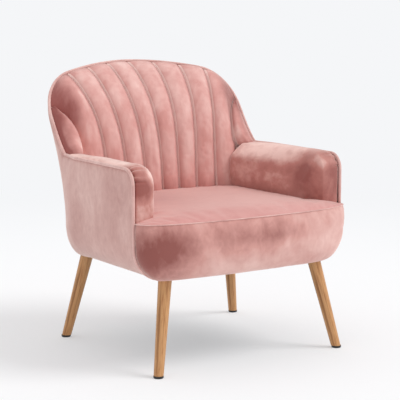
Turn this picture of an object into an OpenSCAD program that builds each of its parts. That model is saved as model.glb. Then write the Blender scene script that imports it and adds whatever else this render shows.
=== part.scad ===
// Upholstered armchair with a fan of ten padded channels in its back.
// The front faces -Y, +X is to the right of someone who stands in front of it, +Z is up.
// The origin lies on the floor, midway between the outermost sides, front and back.

/* [Body] */
// Width over the two side panels
body_width = 646; // [540:2:776]
// Depth from the front of the seat to the top of the back
depth = 680; // [580:2:816]
// Height of the underside above the floor
leg_height = 239; // [199:1:287]
// Height of the base, from its underside to the seam along the front of the seat
base_height = 148; // [140:1:178]
// Radius of the rounded lower edge of the sides and the rear
tuck_radius = 85; // [60:1:100]
// How far the lower rear edge curves under
rear_undercut = 36; // [26:1:44]
// Radius of the two rear corners, seen from above
rear_corner_radius = 155; // [130:1:162]

/* [Seat] */
// How far the seat stands in front of the arms
nose_depth = 78; // [65:1:94]
// How far the seat bulges sideways past the front corners
nose_swell = 1; // [0:1:12]
// How far the lower front edge curves under
nose_undercut = 42; // [34:1:52]
// Height of the seat's crown above its front seam
seat_crown = 16; // [6:1:24]

/* [Arms] */
// Rise from the seat seam to the welt on top of the arms
arm_rise = 134; // [112:1:161]
// Thickness of an arm
arm_thickness = 73; // [68:1:88]
// Radius of the arm's front top corner
arm_corner_radius = 40; // [30:1:48]
// Height of the arm's crest above its welt
arm_crest = 14; // [8:1:20]
// Roundness of the arm's inner edge
arm_roll = 45; // [30:1:55]
// Length over which an arm's outer edge turns in to meet the back
arm_turn = 84; // [60:1:100]

/* [Back] */
// Rise from the seat seam to the top of the back
back_rise = 371; // [340:1:456]
// How far the back's side edges lie inside the side panels
back_inset = 11; // [8:1:20]
// Thickness of the back at the seat
back_thickness = 86; // [76:1:104]
// How far the outside of the back leans out from its foot to its top
back_lean = 119; // [100:1:143]
// How far the inside of the back rolls backward near its top
back_roll = 160; // [134:1:192]
// Radius of the back's two top corners
crown_corner_radius = 120; // [100:1:144]
// Radius of the shallow arch between the top corners
crown_radius = 1060; // [883:1:1272]
// How far the middle of the top edge bows backward
crown_bow = 60; // [50:1:72]
// Padded channels in the back
channels = 10; // [8:2:12]
// How far each channel stands out from its seams
channel_bulge = 16; // [10:1:20]

/* [Legs] */
// Diameter of a leg where it meets the underside
leg_top_diameter = 35; // [30:1:42]
// Diameter of a leg at the floor
leg_foot_diameter = 25; // [21:1:30]
// Sideways splay of a leg from top to foot
leg_splay_x = 47; // [30:1:56]
// Fore and aft splay of a leg from top to foot
leg_splay_y = 44; // [30:1:53]
// Distance of the front legs' tops behind the front of the seat
front_leg_setback = 74; // [72:1:89]
// Distance of the rear legs' tops in front of the foot of the back
rear_leg_setback = 72; // [60:1:82]
// Distance of the legs' tops inside the side panels
leg_side_setback = 88; // [80:1:100]
// Height of the plastic glide under each leg
glide_height = 6; // [4:1:8]
// Diameter of the threaded rod that holds a leg
bolt_diameter = 8; // [6:1:10]

/* [Frame] */
// Thickness of the plywood ribs and posts
ply = 18; // [15:1:21]
// Height of the frame's top edge above the underside
rail_height = 80; // [72:1:90]
// Height of the leg blocks
block_height = 42; // [35:1:50]
// Depth of the leg blocks from front to back
block_depth = 64; // [56:1:76]
// Width of the leg blocks
block_width = 60; // [52:1:66]
// Thickness of the boards behind the outside covers
board = 3; // [2:0.5:4]

/* [Springs] */
// Sinuous springs side by side under the seat
spring_count = 5; // [4:1:6]
// Diameter of the spring wire
wire = 3.6; // [3:0.1:4.2]
// Width of one spring
spring_width = 54; // [46:1:60]
// Distance between neighbouring bars of a spring
spring_pitch = 28; // [22:1:34]
// Rise of the springs' middle above their ends
spring_crown = 18; // [12:1:22]

/* [Upholstery] */
// Thickness of the velvet with its backing
cloth = 2; // [1.5:0.1:2.4]
// Diameter of the covered piping cord
welt_diameter = 7; // [5:0.5:8]
// Clear gap between soft parts
gap = 0.3; // [0.2:0.1:0.5]

/* [Hidden] */

velvet = "#c98c8a";
velvet_light = "#d6a19d";
oak = "#c39a68";
ply_color = "#d8bd8e";
steel = "#a8abb0";
foam_color = "#efe6c8";

// Levels and planes that the pieces share
half = body_width / 2;
under = leg_height;
seat_z = under + base_height;
arm_z = seat_z + arm_rise;
top_z = seat_z + back_rise;
front_y = -depth / 2;
arm_front = front_y + nose_depth;
back_foot = depth / 2 - back_lean;
seat_back = back_foot - back_thickness;
seat_half = half - arm_thickness;
frame_inset = cloth + gap;
board_inset = frame_inset + board + gap;
frame_bottom = under + frame_inset;
frame_top = under + rail_height;
arm_pad = 16;
side_rail_x = seat_half + arm_pad - ply;
front_rail_y = arm_front - 24;
rear_rail_y = back_foot - 57;
rib_end_y = rear_rail_y + ply;
front_post_y = arm_front + 12;
back_joint = seat_back - 12;
rear_post_y = back_joint - ply - 14;
arm_rail_z = arm_z - 17 - ply;

seat_rear_end = seat_back - channel_bulge - 3;
welt_room = welt_diameter / 2 + gap;
edge_room = welt_room + 4 * gap;

// ---- Small helpers ----

// Closed solid between two grids of points with the same rows and columns
module slab(front, back) {
    rows = len(front);
    cols = len(front[0]);
    end = cols - 1;
    total = rows * cols;
    function id(r, c, side) = side * total + r * cols + c;
    function quad(a, b, c, d) = [[a, b, c], [a, c, d]];
    polyhedron(
        points = concat([for (row = front) each row], [for (row = back) each row]),
        faces = concat(
            [for (r = [0 : rows - 2], c = [0 : cols - 2])
                each quad(id(r, c, 0), id(r, c + 1, 0), id(r + 1, c + 1, 0), id(r + 1, c, 0))],
            [for (r = [0 : rows - 2], c = [0 : cols - 2])
                each quad(id(r, c, 1), id(r + 1, c, 1), id(r + 1, c + 1, 1), id(r, c + 1, 1))],
            [for (r = [0 : rows - 2])
                each quad(id(r, 0, 0), id(r + 1, 0, 0), id(r + 1, 0, 1), id(r, 0, 1))],
            [for (r = [0 : rows - 2])
                each quad(id(r, end, 0), id(r, end, 1), id(r + 1, end, 1), id(r + 1, end, 0))],
            [for (c = [0 : cols - 2])
                each quad(id(0, c, 0), id(0, c, 1), id(0, c + 1, 1), id(0, c + 1, 0))],
            [for (c = [0 : cols - 2])
                each quad(id(rows - 1, c, 0), id(rows - 1, c + 1, 0), id(rows - 1, c + 1, 1),
                    id(rows - 1, c, 1))]
        )
    );
}

// Closed solid through rings that all have the same number of points
module loft(rings) {
    n = len(rings[0]);
    last = (len(rings) - 1) * n;
    polyhedron(
        points = [for (ring = rings) each ring],
        faces = concat(
            [for (j = [1 : n - 2]) [0, j, j + 1]],
            [for (i = [0 : len(rings) - 2], j = [0 : n - 1])
                each [[i * n + j, (i + 1) * n + j, (i + 1) * n + (j + 1) % n],
                      [i * n + j, (i + 1) * n + (j + 1) % n, i * n + (j + 1) % n]]],
            [for (j = [1 : n - 2]) [last, last + j + 1, last + j]]
        )
    );
}

function unit(v) = v / norm(v);

// Round cord along a list of points; side is a direction that the route never runs along
module cord(route, diameter, side, sides = 6) {
    n = len(route);
    rings = [for (i = [0 : n - 1])
        let (
            along = unit(route[min(i + 1, n - 1)] - route[max(i - 1, 0)]),
            u = unit(cross(along, side)),
            v = cross(along, u)
        )
        [for (k = [0 : sides - 1])
            route[i] + diameter / 2 * (cos(360 / sides * k) * u + sin(360 / sides * k) * v)]];
    loft(rings);
}

module both_sides() {
    children();
    mirror([1, 0, 0]) children();
}

// Puts what follows on one side: -1 is the left of the front view, 1 the right
module on_side(side) {
    if (side > 0) children();
    else mirror([1, 0, 0]) children();
}

// Turns a flat outline drawn in X and Z into a plate that starts at y and runs backward
module upright_plate(y, thickness) {
    translate([0, y + thickness, 0]) rotate([90, 0, 0]) linear_extrude(thickness) children();
}

// ---- Shape of the outside: side panels, rear corners and back ----

// Top of the side panel under the arm's welt, at a place along the arm
function arm_edge_z(y) =
    let (r = arm_corner_radius - welt_room, d = arm_front + arm_corner_radius - y)
    arm_z - arm_corner_radius + (d <= 0 ? r : sqrt(max(0, r * r - d * d)));

// Arch of the back's edge in the front view
half_back = half - back_inset;
corner_x = half_back - crown_corner_radius;
crown_slope = asin(corner_x / (crown_radius - crown_corner_radius));
corner_z = top_z - crown_radius + (crown_radius - crown_corner_radius) * cos(crown_slope);
crown_x = corner_x + crown_corner_radius * sin(crown_slope);
crown_end_z = corner_z + crown_corner_radius * cos(crown_slope);
top_y = depth / 2 - welt_room;
crown_y = top_y - crown_bow;

function arch_z(x) = x < crown_x
    ? top_z - crown_radius + sqrt(crown_radius * crown_radius - x * x)
    : corner_z + sqrt(max(0, pow(crown_corner_radius, 2) - pow(x - corner_x, 2)));
function arch_x(z) = z > corner_z
    ? corner_x + sqrt(max(0, pow(crown_corner_radius, 2) - pow(z - corner_z, 2)))
    : half_back;
function wing_y(z) =
    back_joint + (crown_y - back_joint) * pow(max(0, z - arm_z) / (crown_end_z - arm_z), 0.8);

// Seen from above the top edge is two nearly straight sweeps that meet in a round bend
crown_bend = 60;
function bow_at(x) = sqrt(x * x + crown_bend * crown_bend) - crown_bend;
function crown_edge_y(x) = top_y - crown_bow * bow_at(x) / bow_at(crown_x);

// Point on the back's edge: q is 0 at the arm, wing_q and crown_q at the two ends of the top corner,
// and 1 at the middle of the top
wing_q = 0.3;
crown_q = 0.62;
function edge_point(q) =
    q < wing_q ? let (z = arm_z + (corner_z - arm_z) * q / wing_q) [arch_x(z), wing_y(z), z]
    : q < crown_q ? let (
            a = (q - wing_q) / (crown_q - wing_q) * (90 - crown_slope),
            z = corner_z + crown_corner_radius * sin(a)
        )
        [corner_x + crown_corner_radius * cos(a), wing_y(z), z]
    : let (x = crown_x * (1 - q) / (1 - crown_q)) [x, crown_edge_y(x), arch_z(x)];

// Foot of the outside surface seen from above, with its outward direction
corner_start_y = back_foot - rear_corner_radius;
corner_centre_x = half - rear_corner_radius;
joint_angle = asin((back_joint - corner_start_y) / rear_corner_radius);
corner_q = 0.72;
function side_angle(q) = joint_angle + (90 - joint_angle) * pow(q / corner_q, 1.6);
function side_foot(y) = y < corner_start_y ? [half, y, 1, 0]
    : let (a = asin((y - corner_start_y) / rear_corner_radius)) corner_foot(a);
function corner_foot(a) = [
    corner_centre_x + rear_corner_radius * cos(a),
    corner_start_y + rear_corner_radius * sin(a), cos(a), sin(a)];
function back_foot_point(q) = q < corner_q ? corner_foot(side_angle(q))
    : [corner_centre_x * (1 - q) / (1 - corner_q), back_foot, 0, 1];

// One upright line of the outside surface, from its turned-under edge to its top
tuck_angles = [0, 10, 25, 45, 67.5, 90];
function tuck_depth(foot) = rear_undercut + (tuck_radius - rear_undercut) * pow(foot[2], 8);
function tucked(foot, inset) = [for (a = tuck_angles)
    let (
        deep = tuck_depth(foot),
        reach = -deep + (deep - inset) * sin(a)
    )
    [foot[0] + foot[2] * reach, foot[1] + foot[3] * reach,
     under + tuck_radius - (tuck_radius - inset) * cos(a)]];

// The outside leans from its foot toward its piped edge above this level, with a slight swell
lean_start = under + tuck_radius + 5;
back_swell = 2;
function lean_share(z, edge_z) = z < lean_start ? 0 : pow((z - lean_start) / (edge_z - lean_start), 2);
function lean_swell(g) = back_swell * sin(180 * g) + edge_room * g;

// Beside an arm the panel stands upright, and only near the back does it start to lean
turn_start = back_joint - arm_turn;
function turn_share(y) = let (t = max(0, min(1, (y - turn_start) / arm_turn))) t * t * (3 - 2 * t);
function arm_edge_x(y) = let (x = side_foot(y)[0]) x + turn_share(y) * (edge_point(0)[0] - x);
function side_point(y, z, inset) =
    let (foot = side_foot(y), g = lean_share(z, arm_z), out = turn_share(y) * lean_swell(g) - inset)
    [foot[0] + g * (arm_edge_x(y) - foot[0]) + foot[2] * out, foot[1] + foot[3] * out, z];
function side_line(y, inset, rises) =
    let (z0 = under + tuck_radius, z1 = arm_edge_z(y))
    [for (t = rises) side_point(y, z0 + (z1 - z0) * t, inset)];
function back_line(q, inset, rises) =
    let (
        foot = back_foot_point(q),
        edge = edge_point(q),
        z0 = under + tuck_radius,
        z1 = edge[2] - edge_room
    )
    [for (t = rises)
        let (
            z = z0 + (z1 - z0) * t,
            g = lean_share(z, edge[2]),
            out = lean_swell(g) - inset
        )
        [foot[0] + g * (edge[0] - foot[0]) + foot[2] * out,
         foot[1] + g * (edge[1] - foot[1]) + foot[3] * out, z]];

function nose_deep(f) = nose_undercut + (tuck_radius - nose_undercut) * pow(abs(cos(f)), 12);

// Edge of the flat underside, moved inward by a margin
function floor_edge(margin) =
    let (
        nose = [for (f = [90 : -6 : 24]) let (d = nose_deep(f) + margin) nose_foot(f) - nose_out(f) * d],
        corner = [for (a = [0 : 10 : 90])
            let (foot = corner_foot(a), d = tuck_depth(foot) + margin)
            [foot[0] - foot[2] * d, foot[1] - foot[3] * d]],
        right = concat(nose, [[half - tuck_radius - margin, arm_front - 6]], corner)
    )
    concat(right, [for (k = [len(right) - 1 : -1 : 0]) [-right[k][0], right[k][1]]]);

side_rises = [0.2, 0.4, 0.6, 0.8, 1];
back_rises = [0.15, 0.3, 0.45, 0.6, 0.75, 0.88, 1];
corner_seam_q = 0.58;

// ---- Shape of the inside of the back: a fan of channels ----

fan_bottom = seat_z + 5;
seam_count = channels / 2 - 1;
fan_half_bottom = seat_half - 4;
fan_half_top = half_back - 8;
seam_gather = 0.155;
function seam_bottom_x(j) =
    fan_half_bottom * j / seam_count * (1 - seam_gather + seam_gather * abs(j) / seam_count);
function seam_top_x(j) = fan_half_top * j / seam_count;

// Inside of the back at its middle, and how far it curves forward at the sides
back_slope = 45;
wrap_foot = 12;
wrap_growth = 32;
function back_share(z) = (z - seat_z - 13) / (back_rise - 15);
function back_y(z) = let (h = back_share(z)) seat_back + back_slope * h + back_roll * pow(max(0, h), 4);
function back_tilt(z) = atan((seam_at_z(0, z + 1)[1] - seam_at_z(0, z - 1)[1]) / 2);
function valley_y(x, z) =
    back_y(z) - (wrap_foot + wrap_growth * pow(back_share(z), 2)) * pow(x / fan_half_top, 2);
function top_of(j) = let (x = abs(seam_top_x(j)), z = arch_z(x))
    [seam_top_x(j), z > crown_end_z ? crown_edge_y(x) : wing_y(z), z];

// Point on a seam line of the fan, v = 0 at the seat and 1 at the edge
function seam_point(j, v) =
    let (
        top = top_of(j),
        z = fan_bottom + (top[2] - fan_bottom) * v,
        bend = 2 + 3 * pow(abs(j) / seam_count, 4),
        x = seam_bottom_x(j) + (top[0] - seam_bottom_x(j)) * pow(v, bend)
    )
    [x, valley_y(x, z) + (top[1] - valley_y(top[0], top[2])) * pow(v, 4), z];
function seam_at_z(j, z) = seam_point(j, (z - fan_bottom) / (top_of(j)[2] - fan_bottom));

// Forward direction, square to the back's slope
function forward(z) = let (t = back_tilt(z)) [0, -cos(t), sin(t)];
function puff(j) = pow(abs(sin(180 * j)), 0.8);
function fan_point(j, v, rise, in) =
    let (p = seam_point(j, v))
    p + forward(min(p[2], top_z - 40)) * ((rise ? channel_bulge * puff(j) : 0) - in);

// The outermost channel lies between the last seam and the back's edge, w = 0 on the arm and 1 at its top.
// Below the arm, where w is negative, its cover runs on flat behind the arm's padding.
wing_bottom = arm_z + 3;
wing_top = top_of(seam_count)[2];
wing_foot = [-1.1, -0.5, -0.1];
function wing_fullness(w) = max(0, min(1, w / 0.1)) * (1 - 0.5 * w);
function wing_point(s, w, rise, in) =
    let (
        inner = seam_at_z(seam_count, wing_bottom + (wing_top - 8 - wing_bottom) * w),
        z = wing_bottom + (wing_top - 22 - wing_bottom) * w,
        outer = [arch_x(z) - edge_room, wing_y(z), z],
        p = inner + (outer - inner) * s
    )
    p + forward(p[2]) * ((rise ? channel_bulge * puff(s) * wing_fullness(w) : 0) - in);

// ---- Shape of the front: the seat's padded nose ----

function nose_foot(f) = [
    half * sign(cos(f)) * pow(abs(cos(f)), 0.75) + nose_swell * sin(2 * f),
    arm_front - nose_depth * pow(sin(f), 0.75)];
nose_fan = 0.72;
function nose_out(f) = unit([cos(f) * nose_fan, -sin(f)]);
function nose_line(f, inset, rises) =
    let (
        foot = nose_foot(f),
        out = nose_out(f),
        deep = nose_deep(f),
        z0 = under + tuck_radius,
        z1 = seat_z - gap
    )
    concat(
        [for (a = [0, 10, 25, 45, 67.5])
            let (reach = -deep + (deep - inset) * sin(a))
            [foot[0] + out[0] * reach, foot[1] + out[1] * reach, z0 - (tuck_radius - inset) * cos(a)]],
        [for (t = rises) [foot[0] - out[0] * inset, foot[1] - out[1] * inset, z0 + (z1 - z0) * t]]
    );
nose_angles = [for (i = [0 : 16]) 3 + 174 * i / 16];

// Height of the seat's crowned top at a place
function seat_top(x, y) =
    let (middle = (front_y + seat_rear_end) / 2, reach = (seat_rear_end - front_y) / 2)
    seat_z + seat_crown * (1 - pow(min(1, abs(x) / half), 4)) * (1 - pow(min(1, abs(y - middle) / reach), 6));

// ---- Legs ----

leg_x = half - leg_side_setback;
function leg_y(end) = end < 0 ? front_y + front_leg_setback : back_foot - rear_leg_setback;
leg_length = norm([leg_splay_x, leg_splay_y, leg_height]);
leg_lean = acos(leg_height / leg_length);
legs = [for (side = [-1, 1], end = [-1, 1]) [side, end]];
insert_diameter = bolt_diameter + 6;
hole_clearance = 0.4;
nail_diameter = 3;

// Moves to the top of a leg and turns Z along the leg, upward
module along_leg(side, end) {
    translate([side * leg_x, leg_y(end), under])
        rotate(leg_lean, [end * leg_splay_y, -side * leg_splay_x, 0]) children();
}

module at_foot(side, end) {
    translate([side * (leg_x + leg_splay_x), leg_y(end) + end * leg_splay_y, 0]) children();
}

module leg(side, end) {
    growth = (leg_top_diameter - leg_foot_diameter) / leg_length;
    spare = 30;
    color(oak) difference() {
        intersection() {
            along_leg(side, end) translate([0, 0, -leg_length - spare])
                cylinder(h = leg_length + 2 * spare, d1 = leg_foot_diameter - growth * spare,
                         d2 = leg_top_diameter + growth * spare, $fn = 64);
            translate([-half, -depth, glide_height]) cube([2 * half, 2 * depth, under - glide_height]);
        }
        along_leg(side, end) translate([0, 0, -36])
            cylinder(h = 60, d = bolt_diameter + hole_clearance, $fn = 32);
        at_foot(side, end) cylinder(h = glide_height + 22, d = nail_diameter + hole_clearance, $fn = 24);
    }
}

module leg_front_left() { leg(-1, -1); }
module leg_front_right() { leg(1, -1); }
module leg_rear_left() { leg(-1, 1); }
module leg_rear_right() { leg(1, 1); }

nail_head = 8;
module leg_glides() {
    color("#1c1c1e") for (l = legs) at_foot(l[0], l[1]) difference() {
        union() {
            translate([0, 0, 1.5]) cylinder(h = glide_height - 1.5, d = leg_foot_diameter + 1, $fn = 64);
            cylinder(h = 1.5, d1 = leg_foot_diameter - 2, d2 = leg_foot_diameter + 1, $fn = 64);
        }
        translate([0, 0, -1]) cylinder(h = glide_height + 2, d = nail_diameter + hole_clearance, $fn = 24);
        translate([0, 0, -1]) cylinder(h = 3.5, d = nail_head + 1, $fn = 32);
    }
}

module glide_nails() {
    color(steel) for (l = legs) at_foot(l[0], l[1]) union() {
        translate([0, 0, 1]) cylinder(h = 1.4, d = nail_head, $fn = 32);
        translate([0, 0, 1]) cylinder(h = glide_height + 18, d = nail_diameter, $fn = 24);
    }
}

module leg_bolts() {
    color(steel) for (l = legs) along_leg(l[0], l[1])
        translate([0, 0, -34]) cylinder(h = 68, d = bolt_diameter, $fn = 32);
}

insert_start = 6;
insert_length = 20;
module leg_insert_nuts() {
    color(steel) for (l = legs) along_leg(l[0], l[1]) translate([0, 0, insert_start]) difference() {
        cylinder(h = insert_length, d = insert_diameter, $fn = 48);
        translate([0, 0, -1]) cylinder(h = insert_length + 2, d = bolt_diameter + hole_clearance, $fn = 32);
    }
}

function block_y(end) = end < 0 ? front_rail_y : rib_end_y - block_depth;
module leg_block_space(side, end, room) {
    translate([side > 0 ? side_rail_x - block_width - room : -side_rail_x - room,
               block_y(end) - 1 - room, frame_bottom - 1])
        cube([block_width + 2 * room, block_depth + 2 + 2 * room, block_height + 1 + room]);
}

module leg_blocks() {
    color(ply_color) for (l = legs) difference() {
        intersection() {
            translate([l[0] > 0 ? side_rail_x - block_width : -side_rail_x, block_y(l[1]), frame_bottom])
                cube([block_width, block_depth, block_height]);
            linear_extrude(arm_z) polygon(floor_edge(0));
        }
        along_leg(l[0], l[1]) translate([0, 0, -10])
            cylinder(h = 10 + insert_start + insert_length, d = insert_diameter + hole_clearance, $fn = 48);
        along_leg(l[0], l[1]) cylinder(h = 40, d = bolt_diameter + 1, $fn = 32);
    }
}

// ---- Wooden frame ----

// Rib across the body: a flat top and large rounded lower corners
module rib_outline(w, top) {
    r = tuck_radius - frame_inset;
    intersection() {
        union() {
            translate([-(w - r), frame_bottom]) square([2 * (w - r), top - frame_bottom]);
            for (s = [-1, 1]) translate([s * (w - r), frame_bottom + r]) circle(r, $fn = 96);
        }
        translate([-w, frame_bottom]) square([2 * w, top - frame_bottom]);
    }
}

// Hand holes near the middle of the front and rear rails
hand_hole = 26;
hand_hole_x = 90;
module hand_holes(y) {
    for (x = [-hand_hole_x, hand_hole_x]) translate([x, y - 1, (frame_bottom + frame_top) / 2])
        rotate([-90, 0, 0]) cylinder(h = ply + 2, d = hand_hole, $fn = 48);
}

// Half width of the seat's nose at a place in front of the arms
function nose_half(y) = nose_foot(asin(pow((arm_front - y) / nose_depth, 4 / 3)))[0];
module seat_front_rail() {
    color(ply_color) difference() {
        upright_plate(front_rail_y, ply) rib_outline(nose_half(front_rail_y) - board_inset - 1, frame_top);
        for (side = [-1, 1]) leg_block_space(side, -1, gap / 2);
        hand_holes(front_rail_y);
    }
}

module seat_rear_rail() {
    color(ply_color) difference() {
        upright_plate(rear_rail_y, ply) rib_outline(rib_half(rib_end_y), frame_top);
        for (side = [-1, 1]) leg_block_space(side, 1, gap / 2);
        screws(screw_room);
        hand_holes(rear_rail_y);
    }
}

side_rail_lift = 20;
module side_rail() {
    start = front_rail_y + ply;
    color(ply_color) difference() {
        translate([side_rail_x, start, frame_bottom + side_rail_lift])
            cube([ply, rear_rail_y - start, frame_top - frame_bottom - side_rail_lift]);
        screws_right(screw_room);
    }
}
module seat_rail_left() { on_side(-1) side_rail(); }
module seat_rail_right() { on_side(1) side_rail(); }

// Upright rib of an arm, notched round the side rail, with the body's rounded lower edge
module arm_post(y, w) {
    inner = side_rail_x + ply;
    color(ply_color) difference() {
        upright_plate(y, ply) difference() {
            rib_outline(w, arm_rail_z);
            translate([-2 * w, 0]) square([2 * w + inner, 2 * arm_z]);
            square([half, frame_bottom + 20]);
        }
        screws_right(screw_room);
    }
}
function rib_half(y) =
    let (r = rear_corner_radius - board_inset - 1, a = asin(max(0, y - corner_start_y) / r))
    corner_centre_x + r * cos(a);
module arm_front_post_left() { on_side(-1) arm_post(front_post_y, half - board_inset); }
module arm_front_post_right() { on_side(1) arm_post(front_post_y, half - board_inset); }
rear_post_half = rail_edge_x(rear_post_y + ply);
module arm_rear_post_left() { on_side(-1) arm_post(rear_post_y, rear_post_half); }
module arm_rear_post_right() { on_side(1) arm_post(rear_post_y, rear_post_half); }

// Outer edge of an arm's rail, inside the board that leans in with the side panel
function rail_edge_x(y) = side_point(y, arm_rail_z + ply, board_inset + 1)[0];
module arm_rail() {
    inner = seat_half + arm_pad;
    end = rear_post_y + ply;
    turn = [for (i = [0 : 6]) turn_start + (end - turn_start) * i / 6];
    color(ply_color) translate([0, 0, arm_rail_z]) linear_extrude(ply) polygon(concat(
        [[inner, end], [inner, front_post_y], [rail_edge_x(front_post_y), front_post_y]],
        [for (y = turn) [rail_edge_x(y), y]]
    ));
}
module arm_rail_left() { on_side(-1) arm_rail(); }
module arm_rail_right() { on_side(1) arm_rail(); }

// Back posts lean and roll with the back; their feet are notched round the rear rail
post_x = side_rail_x - ply;
post_offset = 20;
post_depth = 30;
post_taper = 12;
post_top = top_z - 112;
function inside_y(x, z) = let (j = seam_count * x / seam_at_z(seam_count, min(z, wing_top))[0])
    seam_at_z(j, z)[1];
function post_clear(x, z) =
    let (slope = atan((inside_y(x, z + 1) - inside_y(x, z - 1)) / 2))
    inside_y(x, z) + post_offset / cos(slope);
function post_front(z) = max(post_clear(0, z), post_clear(post_x + ply, z));
module back_post() {
    levels = [for (i = [0 : 10]) frame_top + (post_top - frame_top) * i / 10];
    foot = frame_bottom + block_height + gap;
    side = concat(
        [[rear_rail_y, foot], [post_front(frame_top), foot]],
        [for (z = levels) [post_front(z), z]],
        [for (i = [10 : -1 : 0]) [post_front(levels[i]) + post_depth - post_taper * i / 10, levels[i]]],
        [[rear_rail_y, frame_top]]
    );
    color(ply_color) difference() {
        translate([post_x + ply, 0, 0]) rotate([90, 0, -90]) linear_extrude(ply)
            polygon([for (p = side) [-p[0], p[1]]]);
        screws_right(screw_room);
    }
}
module back_post_left() { on_side(-1) back_post(); }
module back_post_right() { on_side(1) back_post(); }

// Arched rail that ties the tops of the posts and carries the crown
arch_slope = 40;
arch_rise = 64;
arch_width = 22;
module back_top_rail() {
    span = post_x;
    r = (span * span + arch_rise * arch_rise) / (2 * arch_rise);
    color(ply_color) intersection() {
        translate([0, post_front(post_top) + 2.5, post_top - 8]) rotate([arch_slope, 0, 0])
            translate([0, arch_rise - r, -ply / 2]) linear_extrude(ply) difference() {
                circle(r + arch_width / 2, $fn = 128);
                circle(r - arch_width / 2, $fn = 128);
            }
        translate([-span, 0, post_top - 60]) cube([2 * span, depth, 200]);
    }
}

lower_rail_z = seat_z + 20;
module back_lower_rail() {
    color(ply_color) translate([-post_x, post_front(lower_rail_z) + 8, lower_rail_z])
        cube([2 * post_x, ply, 40]);
}

// Countersunk screws: arm posts to the side rails, and back posts to the rear rail
screw_diameter = 4;
screw_head = 8;
screw_sink = 2.2;
screw_spacing = 25;
screw_room = 0.1;
module screw(length, room) {
    union() {
        cylinder(h = length + room, d = screw_diameter + 2 * room, $fn = 24);
        translate([0, 0, -room]) cylinder(h = screw_sink + 2 * room,
            d1 = screw_head + 2 * room, d2 = screw_diameter + 2 * room, $fn = 32);
    }
}
module screws_right(room) {
    for (z = [frame_top - 22, frame_top - 22 - screw_spacing], y = [front_post_y, rear_post_y])
        translate([side_rail_x, y + ply / 2, z]) rotate([0, 90, 0]) screw(40, room);
    for (z = [frame_top - 12, frame_bottom + block_height + 12])
        translate([post_x + ply / 2, rear_rail_y + ply, z]) rotate([90, 0, 0]) screw(30, room);
}
module screws(room) {
    screws_right(room);
    mirror([1, 0, 0]) screws_right(room);
}
module frame_screws() {
    color(steel) screws(0);
}

// ---- Springs and webbing ----

spring_start = front_rail_y + ply / 2;
spring_end = rear_rail_y + ply / 2;
spring_bars = floor((spring_end - spring_start) / spring_pitch) + 1;
clip_plate = 1.2;
spring_base = frame_top + clip_plate + wire / 2 + 0.1;
spring_middle = (spring_start + spring_end) / 2;
spring_half = (spring_end - spring_start) / 2;
function spring_z(y) = spring_base + spring_crown * (1 - pow((y - spring_middle) / spring_half, 2));
function bar_place(i) = let (y = spring_start + (spring_end - spring_start) * i / (spring_bars - 1))
    [y, spring_z(y)];
spring_reach = post_x - spring_width / 2 - 8;
function spring_x(k) = spring_reach * (2 * k / (spring_count - 1) - 1);

// Route of one zig-zag spring: straight bars joined by half-round bends, along a shallow arch
spring_route =
    let (
        bend = norm(bar_place(1) - bar_place(0)) / 2,
        reach = spring_width / 2 - bend - wire / 2
    )
    [for (i = [0 : spring_bars - 1])
        let (
            s = i % 2 == 0 ? 1 : -1,
            here = bar_place(i),
            next = bar_place(min(i + 1, spring_bars - 1)),
            middle = (here + next) / 2,
            half_step = (next - here) / 2
        )
        each concat(
            [[-s * reach, here[0], here[1]], [s * reach, here[0], here[1]]],
            i == spring_bars - 1 ? [] : [for (a = [45, 90, 135])
                [s * (reach + bend * sin(a)),
                 middle[0] - half_step[0] * cos(a), middle[1] - half_step[1] * cos(a)]]
        )];

module seat_springs() {
    color(steel) for (k = [0 : spring_count - 1]) translate([spring_x(k), 0, 0])
        cord(spring_route, wire, [0, 0, 1], 5);
}

// Folded clip that is nailed to a rail and curls over a spring's end bar
clip_width = 14;
module spring_clip() {
    r = wire / 2 + 0.1;
    rotate([90, 0, -90]) translate([0, 0, -clip_width / 2]) linear_extrude(clip_width) union() {
        translate([-7, -r - clip_plate]) square([14, clip_plate]);
        difference() {
            circle(r + clip_plate, $fn = 32);
            circle(r, $fn = 32);
            translate([-10, -10]) square([10, 20]);
        }
        translate([-3, r]) square([3, clip_plate]);
    }
}

module spring_clips() {
    color(steel) for (k = [0 : spring_count - 1]) {
        translate([spring_x(k), spring_start, spring_base]) spring_clip();
        translate([spring_x(k), spring_end, spring_base]) mirror([0, 1, 0]) spring_clip();
    }
}

tie_diameter = 3;
tie_spacing = 144;
module spring_tie_wires() {
    reach = side_rail_x - gap;
    color(steel) for (t = [-1, 1]) {
        y = spring_middle + t * tie_spacing / 2;
        translate([-reach, y, spring_z(y) - wire / 2 - tie_diameter / 2 - gap])
            rotate([0, 90, 0]) cylinder(h = 2 * reach, d = tie_diameter, $fn = 16);
    }
}

strap_height = 40;
strap = 1.5;
strap_spacing = 46;
strap_levels = [for (i = [0 : 3]) lower_rail_z + 66 + strap_spacing * i];
module back_webbing() {
    reach = post_x + ply;
    color("#3a3a3c") for (z = strap_levels)
        translate([-reach, post_front(z) - 0.6, z]) rotate([-back_tilt(z), 0, 0])
            translate([0, -strap, -strap_height / 2]) cube([2 * reach, strap, strap_height]);
}

// ---- Padding ----

seat_front_end = arm_front - 6;
felt = 3;
function felt_z(y) = spring_z(y) + wire / 2 + 2 * gap;
pad_start = seat_front_end + gap;
pad_shares = [0, 0.15, 0.35, 0.55, 0.7, 0.8, 0.9, 0.96, 1];
pad_stations = [for (t = pad_shares) pad_start + (seat_rear_end - pad_start) * t];

module seat_pad_felt() {
    reach = side_rail_x - 2;
    function row(lift) = [for (y = pad_stations) [for (x = [-reach, reach]) [x, y, felt_z(y) + lift]]];
    color("#6d6a66") slab(row(0), row(felt));
}

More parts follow.
